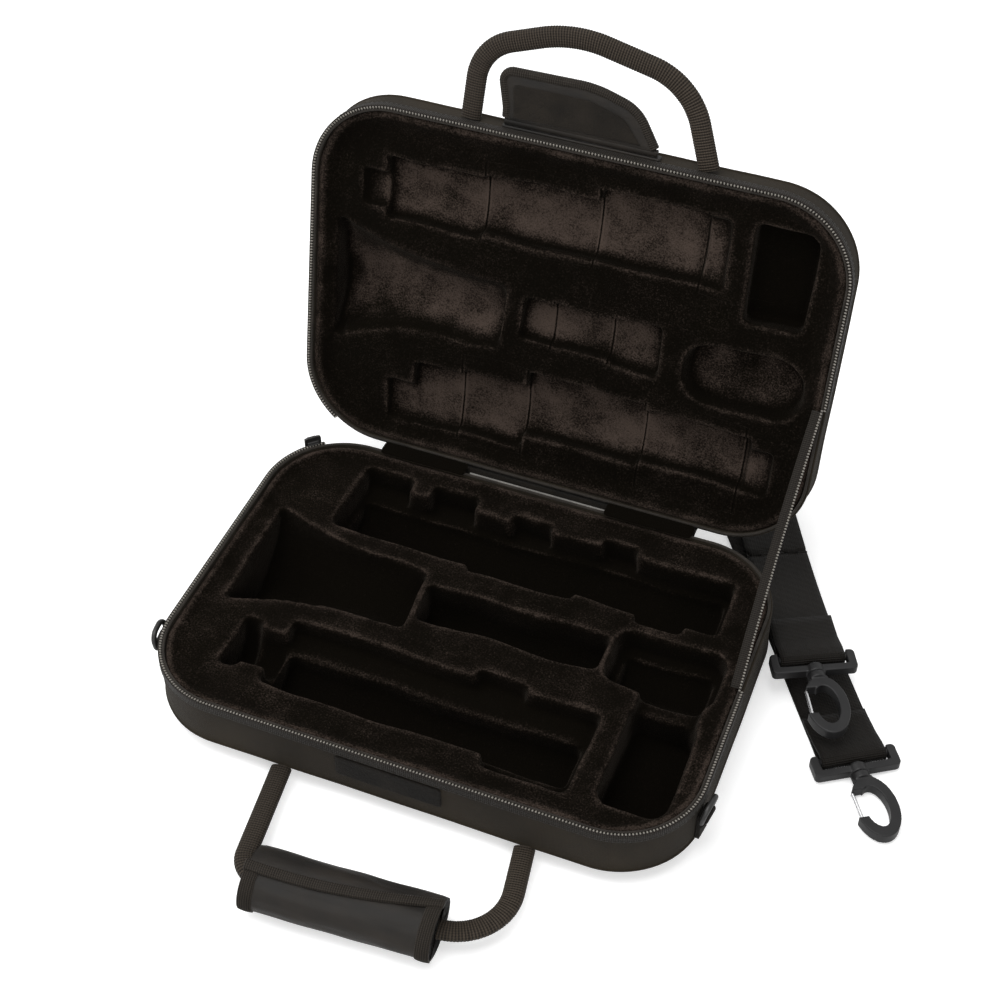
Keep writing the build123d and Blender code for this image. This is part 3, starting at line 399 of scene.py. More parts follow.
# lengths round the case, in the order of rim_at: right wall, front, left wall, back, with corners between
side_run, front_run, bend = 2 * (half_depth - corner), 2 * (half_width - corner), corner * math.pi / 2
rim_length = 2 * (side_run + front_run) + 4 * bend
zip_start_base, zip_start_lid = side_run / 2 - zip_foot_y, side_run / 2 - zip_head_y
zip_last_turn = math.radians(54.4)  # how far round the rear left corner the zipper goes
zip_end = 2 * side_run + front_run + 2 * bend + corner * zip_last_turn


def rim_at(s):
    """Point and outward direction s millimetres round the case, from the right wall's far end."""
    s %= rim_length
    x, y = half_width - corner, half_depth - corner
    runs = (
        (side_run, (half_width, y), (0, -1), (1, 0)),
        (bend, (x, -y), 0.0, None),
        (front_run, (x, -half_depth), (-1, 0), (0, -1)),
        (bend, (-x, -y), -90.0, None),
        (side_run, (-half_width, -y), (0, 1), (-1, 0)),
        (bend, (-x, y), -180.0, None),
        (front_run, (-x, half_depth), (1, 0), (0, 1)),
        (bend, (x, y), -270.0, None),
    )
    for length, start, way, out in runs:
        if s <= length:
            break
        s -= length
    if out:
        return Vector((start[0] + way[0] * s, start[1] + way[1] * s, 0)), Vector((*out, 0))
    turn = math.radians(way) - s / corner
    out = Vector((math.cos(turn), math.sin(turn), 0))
    return Vector((*start, 0)) + out * corner, out


def rim_steps(start, end, step):
    count = max(2, round((end - start) / step))
    return [start + (end - start) * i / count for i in range(count + 1)]


def round_rim(name, profile, step, start=0.0, end=None, matrix=home, ripple=0.0):
    """Sweep a closed (inset, height) profile round the case, all the way or over part of it."""
    closed = end is None
    stops = rim_steps(start, rim_length if closed else end, step)
    rings = []
    for s in stops[:-1] if closed else stops:
        point, out = rim_at(s)
        ring = []
        for inset, height in profile:
            place = point - out * inset + Vector((0, 0, height))
            if ripple:
                place += out * ripple * noise.noise(place * 0.03)
            ring.append(place * mm)
        rings.append(ring)
    obj = skin(name, rings, [(s - start) * mm for s in stops], closed)
    obj.data.transform(matrix)
    return obj


def disc_profile(inset, height, radius, count=10):
    """Closed round profile about a point of the rim's section."""
    angles = [2 * math.pi * i / count for i in range(count)]
    return [(inset + radius * math.cos(a), height + radius * math.sin(a)) for a in angles]


def swept(name, path, wide, thick, section=24, rib=None, rib_height=0.0, power=0.7):
    """Flattened tube of webbing along (point, way, side) stations, ribbed across if asked."""
    rings, runs = [], running([point for point, _, _ in path])
    for (point, way, side), run in zip(path, runs):
        up = way.cross(side).normalized()
        grow = rib_height * abs(math.sin(math.pi * run / rib)) if rib else 0.0
        ring = []
        for i in range(section):
            a = 2 * math.pi * i / section
            c, s = math.cos(a), math.sin(a)
            x = math.copysign(abs(c) ** power, c) * (wide / 2 + grow)
            y = math.copysign(abs(s) ** 0.9, s) * (thick / 2 + grow)
            ring.append((point + side * x + up * y) * mm)
        rings.append(ring)
    return skin(name, rings, [run * mm for run in runs])


# ---- Repeats along a line: zipper teeth and stitches ----


def repeat_tree(name, material, bead):
    """Places a small bead along a curve; its pitch and three sizes are inputs."""
    tree = bpy.data.node_groups.new(name, "GeometryNodeTree")
    face = tree.interface
    face.new_socket("Geometry", in_out="INPUT", socket_type="NodeSocketGeometry")
    for label in ("Pitch", "Along", "Out", "Up"):
        face.new_socket(label, in_out="INPUT", socket_type="NodeSocketFloat")
    face.new_socket("Geometry", in_out="OUTPUT", socket_type="NodeSocketGeometry")
    nodes, links = tree.nodes, tree.links
    entry = nodes.new("NodeGroupInput")
    exit_node = nodes.new("NodeGroupOutput")
    spaced = nodes.new("GeometryNodeResampleCurve")
    spaced.mode = "LENGTH"
    links.new(entry.outputs["Geometry"], spaced.inputs["Curve"])
    links.new(entry.outputs["Pitch"], spaced.inputs["Length"])
    tangent = nodes.new("GeometryNodeInputTangent")
    turn = nodes.new("FunctionNodeAlignRotationToVector")
    turn.axis = "X"
    turn.pivot_axis = "Z"
    links.new(tangent.outputs[0], turn.inputs["Vector"])
    shape = nodes.new("GeometryNodeMeshUVSphere")
    shape.inputs["Segments"].default_value = bead[0]
    shape.inputs["Rings"].default_value = bead[1]
    shape.inputs["Radius"].default_value = 0.5
    size = nodes.new("ShaderNodeCombineXYZ")
    for place, label in enumerate(("Along", "Out", "Up")):
        links.new(entry.outputs[label], size.inputs[place])
    placed = nodes.new("GeometryNodeInstanceOnPoints")
    links.new(spaced.outputs["Curve"], placed.inputs["Points"])
    links.new(shape.outputs["Mesh"], placed.inputs["Instance"])
    links.new(turn.outputs["Rotation"], placed.inputs["Rotation"])
    links.new(size.outputs["Vector"], placed.inputs["Scale"])
    whole = nodes.new("GeometryNodeRealizeInstances")
    links.new(placed.outputs["Instances"], whole.inputs["Geometry"])
    painted = nodes.new("GeometryNodeSetMaterial")
    painted.inputs["Material"].default_value = material
    links.new(whole.outputs["Geometry"], painted.inputs["Geometry"])
    links.new(painted.outputs["Geometry"], exit_node.inputs["Geometry"])
    return tree


tooth_tree = repeat_tree("zipper_teeth", zip_coil, (8, 5))
stitch_tree = repeat_tree("stitch_row", stitch_thread, (6, 4))


def beads(name, tree, line, pitch, along, out, up, matrix=home):
    """Teeth or stitches along a line, as a plain mesh."""
    curve = bpy.data.curves.new(name + "_line", "CURVE")
    curve.dimensions = "3D"
    spline = curve.splines.new("POLY")
    spline.points.add(len(line) - 1)
    for place, p in zip(spline.points, line):
        place.co = (p[0] * mm, p[1] * mm, p[2] * mm, 1.0)
    holder = bpy.data.objects.new(name + "_line", curve)
    bpy.context.scene.collection.objects.link(holder)
    modifier = holder.modifiers.new("repeat", "NODES")
    modifier.node_group = tree
    sizes = {"Pitch": pitch, "Along": along, "Out": out, "Up": up}
    for item in tree.interface.items_tree:
        if item.in_out == "INPUT" and item.name in sizes:
            modifier[item.identifier] = sizes[item.name] * mm
    bpy.context.view_layer.update()
    graph = bpy.context.evaluated_depsgraph_get()
    mesh = bpy.data.meshes.new_from_object(holder.evaluated_get(graph))
    bpy.data.objects.remove(holder)
    mesh.transform(matrix)
    return new_piece(name, mesh)


def rim_line(start, end, inset, height):
    """Points along part of the rim, 3 mm apart."""
    line = []
    for s in rim_steps(start, end, 3.0):
        point, out = rim_at(s)
        point = point - out * inset
        line.append((point.x, point.y, height))
    return line


# ---- Shell, zipper halves and rim piping of base and lid ----


def shell_profile(bottom, crease, top):
    """Closed section of one shell from its flat outside, round the welted fold, to the rim and back."""
    up = 1.0 if top > bottom else -1.0
    fold = bottom + up * crease
    outer = [(54.0, bottom), (36.0, bottom), (crease_inset + 2, bottom)]
    outer.append((crease_inset - 0.6, bottom + up * 0.7))
    for i in range(1, 5):
        t = i / 5
        outer.append((crease_inset * (1 - t), bottom + up * crease * t))
    welt = ((0.7, -1.3), (-0.25, -1.0), (-0.75, -0.2), (-0.65, 0.6), (-0.1, 1.1), (0.05, 1.8))
    outer += [(inset, fold + up * height) for inset, height in welt]
    height = abs(top - fold)
    for i in range(1, 6):
        outer.append((0.0, fold + up * (1.8 + (height - 2.8) * i / 5)))
    outer += [(0.2, top - up * 0.35), (0.7, top), (wall - 0.6, top), (wall, top - up * 0.5)]
    inner = [(wall, fold), (crease_inset * 0.5 + wall, bottom + up * (crease * 0.5 + wall * 0.5))]
    inner += [(crease_inset + wall, bottom + up * wall), (54.0, bottom + up * wall)]
    return outer + inner


def shell(side, bottom, crease, top, matrix):
    """A shell's swept wall, closed across the middle of its flat outside and inside."""
    obj = round_rim(side + "_cover", shell_profile(bottom, crease, top), 4.5, ripple=0.35)
    inside = bottom + (wall if top > bottom else -wall)
    form = bmesh.new()
    form.from_mesh(obj.data)
    layer = form.loops.layers.uv["cloth"]

    def at(vert, height):
        return abs(vert.co.z / mm - height) < 0.01

    strip = [f for f in form.faces if all(any(at(v, height) for v in f.verts) for height in (bottom, inside))]
    bmesh.ops.delete(form, geom=strip, context="FACES_ONLY")
    for height in (bottom, inside):
        loop_edges = [e for e in form.edges if e.is_boundary and all(at(v, height) for v in e.verts)]
        made = bmesh.ops.contextual_create(form, geom=loop_edges)["faces"]
        for face in made:
            for loop in face.loops:
                loop[layer].uv = (loop.vert.co.x, loop.vert.co.y)
        bmesh.ops.triangulate(form, faces=made)
    bmesh.ops.recalc_face_normals(form, faces=form.faces)
    form.to_mesh(obj.data)
    form.free()
    obj.data.transform(matrix)
    finished(obj, nylon_cloth, side, "nylon_shell", side + "_shell")


shell("base", 0.0, base_crease, parting - rim_drop, home)
shell("lid", shut_height, lid_crease, parting + rim_drop, open_lid)


def zipper_half(side, up, start, matrix):
    """Tape, core cord, teeth and stitching of one half of the zipper."""
    edge = parting - up * 0.6
    foot = edge - up * 7.0
    tape = [(-0.05, foot), (-0.45, foot), (-0.8, foot + up * 0.4), (-0.75, foot + up * 2.0)]
    tape += [(-0.8, edge - up * 2.0), (-0.7, edge - up * 0.3), (-0.3, edge), (1.2, edge - up * 0.5)]
    tape += [(1.2, edge - up * 1.0), (-0.05, edge - up * 1.2)]
    obj = round_rim(side + "_zipper_tape", tape, 3.0, start, zip_end, matrix)
    finished(obj, zip_tape, side, "zip_tape", side + "_zip_tape")
    line = rim_line(start, zip_end, 0.75, edge - up * 0.55)
    obj = beads(side + "_zipper_teeth", tooth_tree, line, pitch=2.1, along=1.3, out=2.1, up=1.7,
                matrix=matrix)
    finished(obj, zip_coil, side, "zip_coil", side + "_zip_coil")
    line = rim_line(start, zip_end, -0.75, foot + up * 1.1)
    obj = beads(side + "_zipper_stitches", stitch_tree, line, pitch=3.4, along=2.7, out=0.5, up=0.55,
                matrix=matrix)
    finished(obj, stitch_thread, side, "zip_tape")


halves = (("base", 1.0, zip_start_base, home), ("lid", -1.0, zip_start_lid, open_lid))
for half in halves:
    zipper_half(*half)
for side, up, _, matrix in halves:
    middle = parting - up * (rim_drop - 0.9)
    obj = round_rim(side + "_piping", disc_profile(rim_drop, middle, 0.88), 2.5, matrix=matrix)
    finished(obj, cord_piping, side, "piping", side + "_rim_piping")


# ---- Plush trays ----


def pillow(co):
    """Slight unevenness of foam under the pile."""
    return 0.35 * mm * noise.noise(co * 60.0) + 0.15 * mm * noise.noise(co * 240.0)


def store(mesh, name, values):
    attribute = mesh.attributes.new(name, "FLOAT", "POINT")
    attribute.data.foreach_set("value", values.astype(np.float32))


def paint_pile_highlights(obj, matrix, land, up, lands, floors, creases):
    """Store where a highlight is painted on the pile (crests, lands and, in the lid, the well floors), and
    how far it lies from its folds.
    """
    mesh = obj.data
    count = len(mesh.vertices)
    places, normals = np.empty(count * 3), np.empty(count * 3)
    mesh.vertices.foreach_get("co", places)
    mesh.vertices.foreach_get("normal", normals)
    places, normals = places.reshape(-1, 3), normals.reshape(-1, 3)
    edges = np.empty(len(mesh.edges) * 2, dtype=np.int64)
    mesh.edges.foreach_get("vertices", edges)
    a, b = edges.reshape(-1, 2).T
    degree = np.bincount(a, minlength=count) + np.bincount(b, minlength=count)

    def neighbours(values):
        total = np.zeros_like(values)
        np.add.at(total, a, values[b])
        np.add.at(total, b, values[a])
        return total / degree.reshape((-1,) + (1,) * (values.ndim - 1))

    def ramp(values):
        return np.clip(values, 0.0, 1.0)

    # painted highlight: the pile's crests, its level lands and, in the lid, its level well floors are made
    # lighter, as if lit from above
    crest = ((places - neighbours(places)) * normals).sum(1) / mm
    for _ in range(3):
        crest = 0.5 * crest + 0.5 * neighbours(crest)
    crest = ramp(crest * 7.0)
    back = np.array(matrix.inverted())
    x = places[:, 0] / mm
    rows, height = ((places @ back[i, :3] + back[i, 3]) / mm for i in (1, 2))
    depth = (land - height) * up
    level = ramp((normals @ back[2, :3] * up - 0.6) / 0.3)
    # the lid's bell well, left of x = -36, is deeper than the others
    shallow = ramp(np.where(x < -36.0, (22.5 - depth) / 2.0, (13.6 - depth) / 0.8))
    floor_highlight = ramp((depth - 2.0) / 3.0) * shallow * level
    for _ in range(14):
        floor_highlight = 0.4 * floor_highlight + 0.6 * neighbours(floor_highlight)
    patches = np.array([noise.noise(Vector(p) * 38.0) + 0.5 * noise.noise(Vector(p) * 110.0) for p in places])
    floor_highlight = floor_highlight**1.5 * np.clip(0.76 + 0.32 * patches, 0.3, 1.0)
    crown = ramp(1.0 - depth / 3.0) * level * ramp(0.62 + 0.35 * patches)
    store(mesh, "painted_highlight", ramp(0.42 * crest + lands * crown + floors * floor_highlight))
    folded = np.full(count, 9.0)
    for near, far, lines in creases:
        gap = np.min([np.abs(x - line) for line in lines], axis=0)
        turns = np.sum([x > line for line in lines], axis=0)
        folded = np.where((rows > near) & (rows < far), gap * np.where(turns % 2, -1.0, 1.0), folded)
    store(mesh, "crease", folded)


def uneven(obj, matrix):
    """Pull the foam a little out of true, as a moulding's ridges are, but not its rim."""
    back, turn = matrix.inverted(), matrix.to_3x3()
    fade = 30.0 * mm
    places = []
    for v in obj.data.vertices:
        p = back @ v.co
        gaps = (half_width * mm - abs(p.x), half_depth * mm - abs(p.y))
        inside = min(1.0, *(max(0.0, gap / fade) for gap in gaps))
        q = p * 24.0
        push = Vector((noise.noise(q), noise.noise(q + Vector((7.1, 3.3, 1.7))), 0.0))
        places.append(v.co + (turn @ push) * inside * 2.6 * mm)
    move_to(obj, places)


def tray(side, matrix, rounds, land, up, lands, floors, creases=()):
    """One plush moulding; land is the height of its ridges' tops and up the side its wells open to, shut."""
    obj = moulded(side + "_wells", side + "_tray", 1.9, rounds, matrix, pillow)
    uneven(obj, matrix)
    paint_pile_highlights(obj, matrix, land, up, lands, floors, creases)
    finished(obj, plush_pile, side, "plush", side + "_tray")


# along these folds the lid's plush gets a painted shade line with a painted highlight beside it
lid_creases = (  # near and far end of each row of wells, and where its folds cross
    (40.0, 108.0, (-67.0, -20.0, 63.0, 132.0)),
    (-100.0, -44.0, (-62.0, 15.0, 85.0)),
    (-15.0, 23.0, (-7.0, 33.0)),
)
# lands and floors weigh the painted highlight on the ridges' tops and on the well floors
tray("base", home, rounds=9, land=45.6, up=1.0, lands=0.42, floors=0.0)
tray("lid", open_lid, rounds=4, land=58.8, up=-1.0, lands=0.30, floors=1.0, creases=lid_creases)


# ---- Hinge cloth, tabs, corded seam and free zipper tail ----

hinge_ends = ("base", "lid", (0, 0.1238, 0.0475), (0, 0.1325, 0.0475))
softened("hinge_strip", "hinge_cloth", 0.55, 1, loop_pile, hinge_ends, "nylon_shell")
softened("hinge_plush_tabs", "hinge_tabs", 0.5, 3, plush_pile, "base", "plush")

seam = [(Vector((x, 123.25, 49.15)), Vector((1, 0, 0)), Vector((0, 1, 0))) for x in range(-50, 51)]
obj = swept("hinge_seam", seam, 1.5, 1.5, 12, 2.0, 0.08, 1.0)
finished(obj, highlight_piping, "base", "piping", "hinge_piping")

tail_foot = Vector((0, zip_foot_y, parting))
tail_head = open_lid_mm @ Vector((0, zip_head_y, parting))
tail_ends = ("base", "lid", tail_foot * mm, tail_head * mm)
tail_length = (tail_head - tail_foot).length
tail_way = (tail_head - tail_foot).normalized()
tail_out = Vector((1, 0, 0)).cross(tail_way)


def tail_at(t, x):
    """A point of the tail, which bows a little between its ends."""
    bow = 1.2 * math.sin(math.pi * min(1, max(0, t)))
    return Vector((x - bow, 0, 0)) + tail_foot + tail_way * (tail_length * t) - tail_out * bow


def tail_strip(name, left, right, thick, material, slot, node):
    """Flat strip along the tail, between two places across it."""
    side, up = Vector(((right - left) / 2, 0, 0)), tail_out * thick / 2
    section = [(-1, -0.4), (-0.8, -1), (0.8, -1), (1, -0.4)]
    section += [(-x, -h) for x, h in section]
    rings = []
    for i in range(91):
        middle = tail_at(0.005 + 0.99 * i / 90, (left + right) / 2)
        rings.append([(middle + side * x + up * h) * mm for x, h in section])
    finished(skin(name, rings), material, tail_ends, slot, node)


tail_strip("zipper_tail", 171.6, 177.2, 0.8, zip_tape, "zip_tape", "zip_tail")
line = [tail_at(i / 60, 177.6) + tail_out * 0.1 for i in range(61)]
obj = beads("zipper_tail_teeth", tooth_tree, line, pitch=1.9, along=1.3, out=1.6, up=1.6)
finished(obj, zip_coil, tail_ends, "zip_coil")


# ---- Loop patch, ring tabs, rings, slider ----

softened("front_loop_patch", "loop_patch", 0.6, 2, loop_pile, "base", "loop_pile",
         swell=lambda co: 0.18 * mm * noise.noise(co * 900.0))
for side in ("right", "left"):
    softened("ring_webbing_" + side, "ring_tab_" + side, 0.5, 2, loop_pile, "base", "webbing")
    softened("strap_ring_" + side, "side_ring_" + side, 0.5, 2, black_metal, "ring_" + side, "black_metal")
softened("zipper_slider", "zip_slider", 0.3, 2, black_metal, "slider", "black_metal")
softened("zipper_pull", "slider_pull", 0.3, 2, black_metal, "pull", "black_metal")


# ---- Handles ----


def rounded_path(points, radii, step):
    """Stations along a polyline with rounded corners: (point, way)."""
    corners = [Vector((*p, 0)) for p in points]
    line = [corners[0]]
    for a, b, c, radius in zip(corners, corners[1:], corners[2:], radii):
        into, away = (b - a).normalized(), (c - b).normalized()
        turn = into.angle(away)
        start = b - into * radius * math.tan(turn / 2)
        hand = 1 if into.cross(away).z > 0 else -1
        centre = start + Vector((-into.y, into.x, 0)) * hand * radius
        spins = [Matrix.Rotation(turn * k / 24 * hand, 4, "Z") for k in range(1, 25)]
        line += [start] + [centre + spin @ (start - centre) for spin in spins]
    line.append(corners[-1])
    stations, t = [], 0.0
    for p, q in zip(line, line[1:]):
        length, way = (q - p).length, (q - p).normalized()
        while t < length:
            stations.append((p + way * t, way))
            t += step
        t -= length
    return stations


def way_of(turn):
    return Vector((math.cos(turn), math.sin(turn), 0))


def axes(origin, x, z):
    """Matrix of a plane from its origin, x direction and normal."""
    x, z = Vector(x).normalized(), Vector(z).normalized()
    y = z.cross(x)
    return Matrix.Translation(Vector(origin)) @ Matrix((x, y, z)).transposed().to_4x4()


grip_reach, grip_height, handle_foot = 73.4, 15.9, 11.0
handle_rise = math.asin((grip_height - handle_foot) / grip_reach)
front_up = Vector((0, math.sin(handle_rise), math.cos(handle_rise)))
front_plane = axes((0, -127.8, handle_foot), (1, 0, 0), front_up)
skew = math.radians(4.0)
grip_x = front_plane.to_3x3() @ way_of(skew)
grip_plane = axes(front_plane @ Vector((0, -grip_reach, 0)), grip_x, front_up)


def webbing_handle(name, matrix, points, radii, body, node):
    """Loop of tubular webbing, its ends rounded where they are sewn to the case."""
    turn = matrix.to_3x3()
    stations = []
    for point, way in rounded_path(points, radii, 0.34):
        side = Vector((way.y, -way.x, 0))
        stations.append((matrix @ point, (turn @ way).normalized(), (turn @ side).normalized()))
    obj = swept(name, stations, webbing_width - 0.6, webbing_thickness - 0.6, 22, 1.7, 0.26)
    finished(obj, handle_webbing, body, "webbing", node)


turns = [(x, -grip_reach + x * math.tan(skew)) for x in (-64.0, 98.0)]
webbing_handle("front_handle_loop", front_plane, [(-76.0, 2.6), *turns, (86.0, 2.6)], (16.0, 34.0),
               "front_handle", "front_handle_webbing")

lid_handle_plane = open_lid_mm @ axes((0, -half_depth - 3.8, 62.0), (1, 0, 0), (0, 0, 1))
lid_points = [(-76.0, 2.6), (-73.0, -44.0), (-14.0, -64.0), (62.0, -48.0), (80.0, 2.6)]
webbing_handle("lid_handle_loop", lid_handle_plane, lid_points, (30.0, 80.0, 46.0), "lid_handle",
               "lid_handle_webbing")

# the padded grip: an oval tube round the webbing, open along a seam and bound on its edges
grip_from, grip_to = -56.0, 61.0
grip_half_wide, grip_half_deep = 20.0, 15.4


def seam_angle(x):
    """Where the cover's edge lies round the grip: nearer the front at its left end than at its right."""
    t = (x - grip_from) / (grip_to - grip_from)
    return 100.0 + 6.0 * math.sin(math.pi * min(1.0, max(0.0, t))) - 28.0 * t * t


def on_grip(x, turn, out):
    """A point on the grip's oval, at an angle in degrees and so far outside it."""
    a = math.radians(turn)
    wide, deep = grip_half_wide + out, grip_half_deep + out
    return grip_plane @ Vector((x, wide * math.cos(a), deep * math.sin(a)))


def grip_ring(x, start, end, inner, outer, puff, count=44):
    """Closed section of the padded wall between two angles of its oval, at one place along it."""
    turns = [start + (end - start) * i / count for i in range(count + 1)]
    ring = []
    for i, turn in enumerate(turns):
        a = math.radians(turn)
        soft = 1.0 + 0.5 * noise.noise(Vector((x * 0.05, a * 1.3, outer)))
        swell = outer + puff * (1 - math.exp(-min(i, count - i) / count * 22)) * soft
        fold = 0.5 * noise.noise(Vector((x * 0.035, a * 3.4, 7.0)))
        ring.append(on_grip(x, turn, swell + fold))
    ring += [on_grip(x, turn, inner) for turn in turns[::-1]]
    return [p * mm for p in ring]


def grip_wall(name, start, end, outer, puff, body, node):
    """Padded wall round the grip from one angle to the other; None stands for the seam."""
    rings = []
    count = round((grip_to - grip_from) / 0.8)
    for i in range(count + 1):
        x = grip_from + (grip_to - grip_from) * i / count
        ease = min(1.0, min(i, count - i) / 3.0)
        near = seam_angle(x) + 0.7 if start is None else start
        far = seam_angle(x) - 0.7 if end is None else end
        rings.append(grip_ring(x, near, far, -2.5 * ease, outer * ease, puff * ease))
    obj = finished(skin(name, rings), satin_cloth, body, "satin", node)


grip_wall("grip_padding", -146.6, None, -0.5, 0.9, "front_handle", "grip_lining")
grip_wall("grip_wrap", None, 211.0, -0.4, 1.0, "grip_wrap", "grip_cover")


def grip_end(name, left, right):
    """Ribbed tape sewn round one end of the cover; the ribs lie along the grip."""
    rings = []
    for i in range(13):
        x = left + (right - left) * i / 12
        lift = 0.2 + 1.15 * math.sin(math.pi * (0.12 + 0.76 * i / 12)) ** 0.5
        first = seam_angle(x) + 3.0
        turns = [first + (209.0 - first) * k / 180 for k in range(181)]
        ring = [on_grip(x, turn, lift + 0.16 * math.sin(math.pi * k / 1.5)) for k, turn in enumerate(turns)]
        ring += [on_grip(x, turn, -0.4) for turn in turns[::-4]]
        rings.append([p * mm for p in ring])
    finished(skin(name, rings), ribbed_binding, "grip_wrap", "grosgrain", "grip_end_bindings")


grip_end("grip_end_left", grip_from - 0.4, grip_from + 8.4)
grip_end("grip_end_right", grip_to - 8.4, grip_to + 0.4)

stations = []
for i in range(251):
    x = grip_from - 1.0 + (grip_to - grip_from + 2.0) * i / 250
    turn = seam_angle(x)
    middle, ahead = on_grip(x, turn, 1.2), on_grip(x + 0.4, seam_angle(x + 0.4), 1.2)
    side = on_grip(x, turn + 2.0, 1.2) - on_grip(x, turn - 2.0, 1.2)
    stations.append((middle, (ahead - middle).normalized(), side.normalized()))
obj = swept("grip_seam_binding", stations, 6.6, 3.6, 20, 1.5, 0.22, 0.8)
finished(obj, ribbed_binding, "grip_wrap", "grosgrain", "grip_edge_binding")


# ---- Closing flap ----

flap_plane = open_lid_mm @ axes((0, -128.6, 61.0), (1, 0, 0), (0, 0, -1))
flap_turn = flap_plane.to_3x3()
flap_x, flap_y, flap_z = (flap_turn @ axis for axis in Matrix.Identity(3))
flap_corners = [(-52.0, 0.6), (-52.2, 9.0), (-57.2, 31.8), (3.0, 32.6), (31.0, 24.5), (46.0, 0.6)]
flap_edge = rounded_path(flap_corners, (14.0, 6.0, 70.0, 26.0), 0.35)
flap_rim = [p.xy for p, _ in flap_edge]


def flap_crown(p):
    """Half thickness of the padded flap, pinched at its binding."""
    near = min((p - q).length for q in flap_rim[::8])
    soft = 0.30 * noise.noise(Vector((p.x * 0.09, p.y * 0.16, 2.0)))
    return 1.5 + (1.05 + soft) * (1 - math.exp(-near / 3.2))


def flap_pad(name, edge, over, under):
    """Closed pad inside an outline, from the middle of one face round its edge to the other."""
    spans = (0.04, 0.18, 0.32, 0.46, 0.58, 0.68, 0.77, 0.84, 0.90, 0.95, 1.0)
    centre = sum(edge, Vector((0, 0))) / len(edge)
    rings = []
    for face, order in ((over, 1), (under, -1)):
        for f in spans[::order]:
            places = [centre + (q - centre) * f for q in edge]
            rings.append([flap_plane @ Vector((p.x, p.y, face(p))) * mm for p in places])
    return skin(name, rings)


def hooks_level(p):
    return flap_crown(p) + 0.45 + 0.12 * noise.noise(Vector((p.x * 0.2, p.y * 0.2, 5.0)))


obj = flap_pad("flap_body", flap_rim[::3], flap_crown, lambda p: -flap_crown(p))
finished(obj, satin_cloth, "flap", "satin", "closing_flap")
fold = [(flap_plane @ Vector((x, 0.0, 0.0)), flap_x, flap_y) for x in range(-53, 48)]
obj = swept("flap_fold", fold, 4.8, 4.2, 20)
finished(obj, satin_cloth, "flap", "satin", "closing_flap")
# the binding stops short of the fold, so that it clears the strip that holds the flap
bound = [(flap_plane @ p, flap_turn @ way) for p, way in flap_edge if p.y > 2.6]
bound = [(p, way, way.cross(flap_z)) for p, way in bound]
obj = swept("flap_edge_binding", bound, 5.6, 5.4, 20, 1.5, 0.22, 0.8)
finished(obj, ribbed_binding, "flap", "grosgrain", "flap_binding")
panel_corners = [(-47.5, 3.4), (-50.0, 25.0), (0.0, 25.0), (24.0, 18.5), (36.0, 3.4)]
panel = [p.xy for p, _ in rounded_path(panel_corners, (4.0, 40.0, 18.0), 0.7)]
obj = flap_pad("flap_hooks", panel, hooks_level, lambda p: flap_crown(p) - 0.3)
finished(obj, hook_tape, "flap", "hook_tape", "flap_hook_patch")
softened("flap_root", "flap_anchor", 0.6, 1, satin_cloth, "lid", "nylon_shell", matrix=open_lid)


# ---- Shoulder strap: one ribbon of webbing, folded flat behind the case ----

strap_half, strap_thick, bar_hole = 21.0, 2.0, 2.8
rear_line, rear_end = 235.0, -150.0  # middle and left end of the run behind the case
layer_rise, fold_length = 2.3, 3.6  # height of a layer, and the webbing that a fold on to it takes
layers = [0.4 + strap_thick / 2 + layer_rise * i for i in range(4)]
upper_bar, upper_turn = Vector((209.8, 72.6, 21.0)), math.radians(-63.0)
lower_bar, lower_turn = Vector((252.5, 17.3, 5.2)), math.radians(-57.0)


class Ribbon:
    """Rows across a strap: line is the last one, marks the length up to it, travel the way it came."""

    def __init__(self):
        self.rows = []
        self.line, self.marks, self.travel = None, (0.0, 0.0), None

    def through(self, bar, way, side, profile):
        """Square rows at places given along and above a bar."""
        for x, z in profile:
            middle = bar + way * x + Vector((0, 0, z))
            line = (middle - side, middle + side)
            mark = self.marks[0] + ((line[0] - self.line[0]).length if self.line else 0.0)
            self.line, self.marks = line, (mark, mark)
            self.rows.append((*line, mark, mark))

    def reach(self, line, steps, sag=0.0):
        """Rows on to a line in the same layer, hanging through by sag in the middle."""
        start, before = self.line, self.marks
        after = [mark + (b - a).length for mark, a, b in zip(before, start, line)]
        for i in range(steps + 1):
            t = i / steps
            drop = Vector((0, 0, -sag * math.sin(math.pi * t)))
            places = [a.lerp(b, t) + drop for a, b in zip(start, line)]
            self.rows.append((*places, *(m + (n - m) * t for m, n in zip(before, after))))
        self.line, self.marks, self.travel = line, after, line[0] - start[0]

    def fold(self, steps=6):
        """Rows round a fold across the way it came, on to the layer above."""
        across = (self.line[1] - self.line[0]).normalized()
        out = Vector((across.y, -across.x, 0))
        if out.dot(self.travel) < 0:
            out = -out
        for i in range(1, steps):
            a = math.pi * i / steps
            move = (out * math.sin(a) + Vector((0, 0, 1 - math.cos(a)))) * (layer_rise / 2)
            marks = [mark + layer_rise / 2 * a for mark in self.marks]
            self.rows.append((self.line[0] + move, self.line[1] + move, *marks))
        self.line = [p + Vector((0, 0, layer_rise)) for p in self.line]
        self.marks = [mark + fold_length for mark in self.marks]

    def mesh(self, name, columns=10):
        form = bmesh.new()
        layer = form.loops.layers.uv.new("cloth")
        grid = []
        for left, right, *marks in self.rows:
            row = []
            for c in range(columns + 1):
                t = c / columns
                mark = marks[0] + (marks[1] - marks[0]) * t
                row.append((form.verts.new(left.lerp(right, t) * mm), t, mark))
            grid.append(row)
        for here, there in zip(grid, grid[1:]):
            for c in range(columns):
                corners = (here[c], here[c + 1], there[c + 1], there[c])
                face = form.faces.new([corner[0] for corner in corners])
                for loop, (_, t, mark) in zip(face.loops, corners):
                    loop[layer].uv = (t * 2 * strap_half * mm, mark * mm)
        return built(name, form)


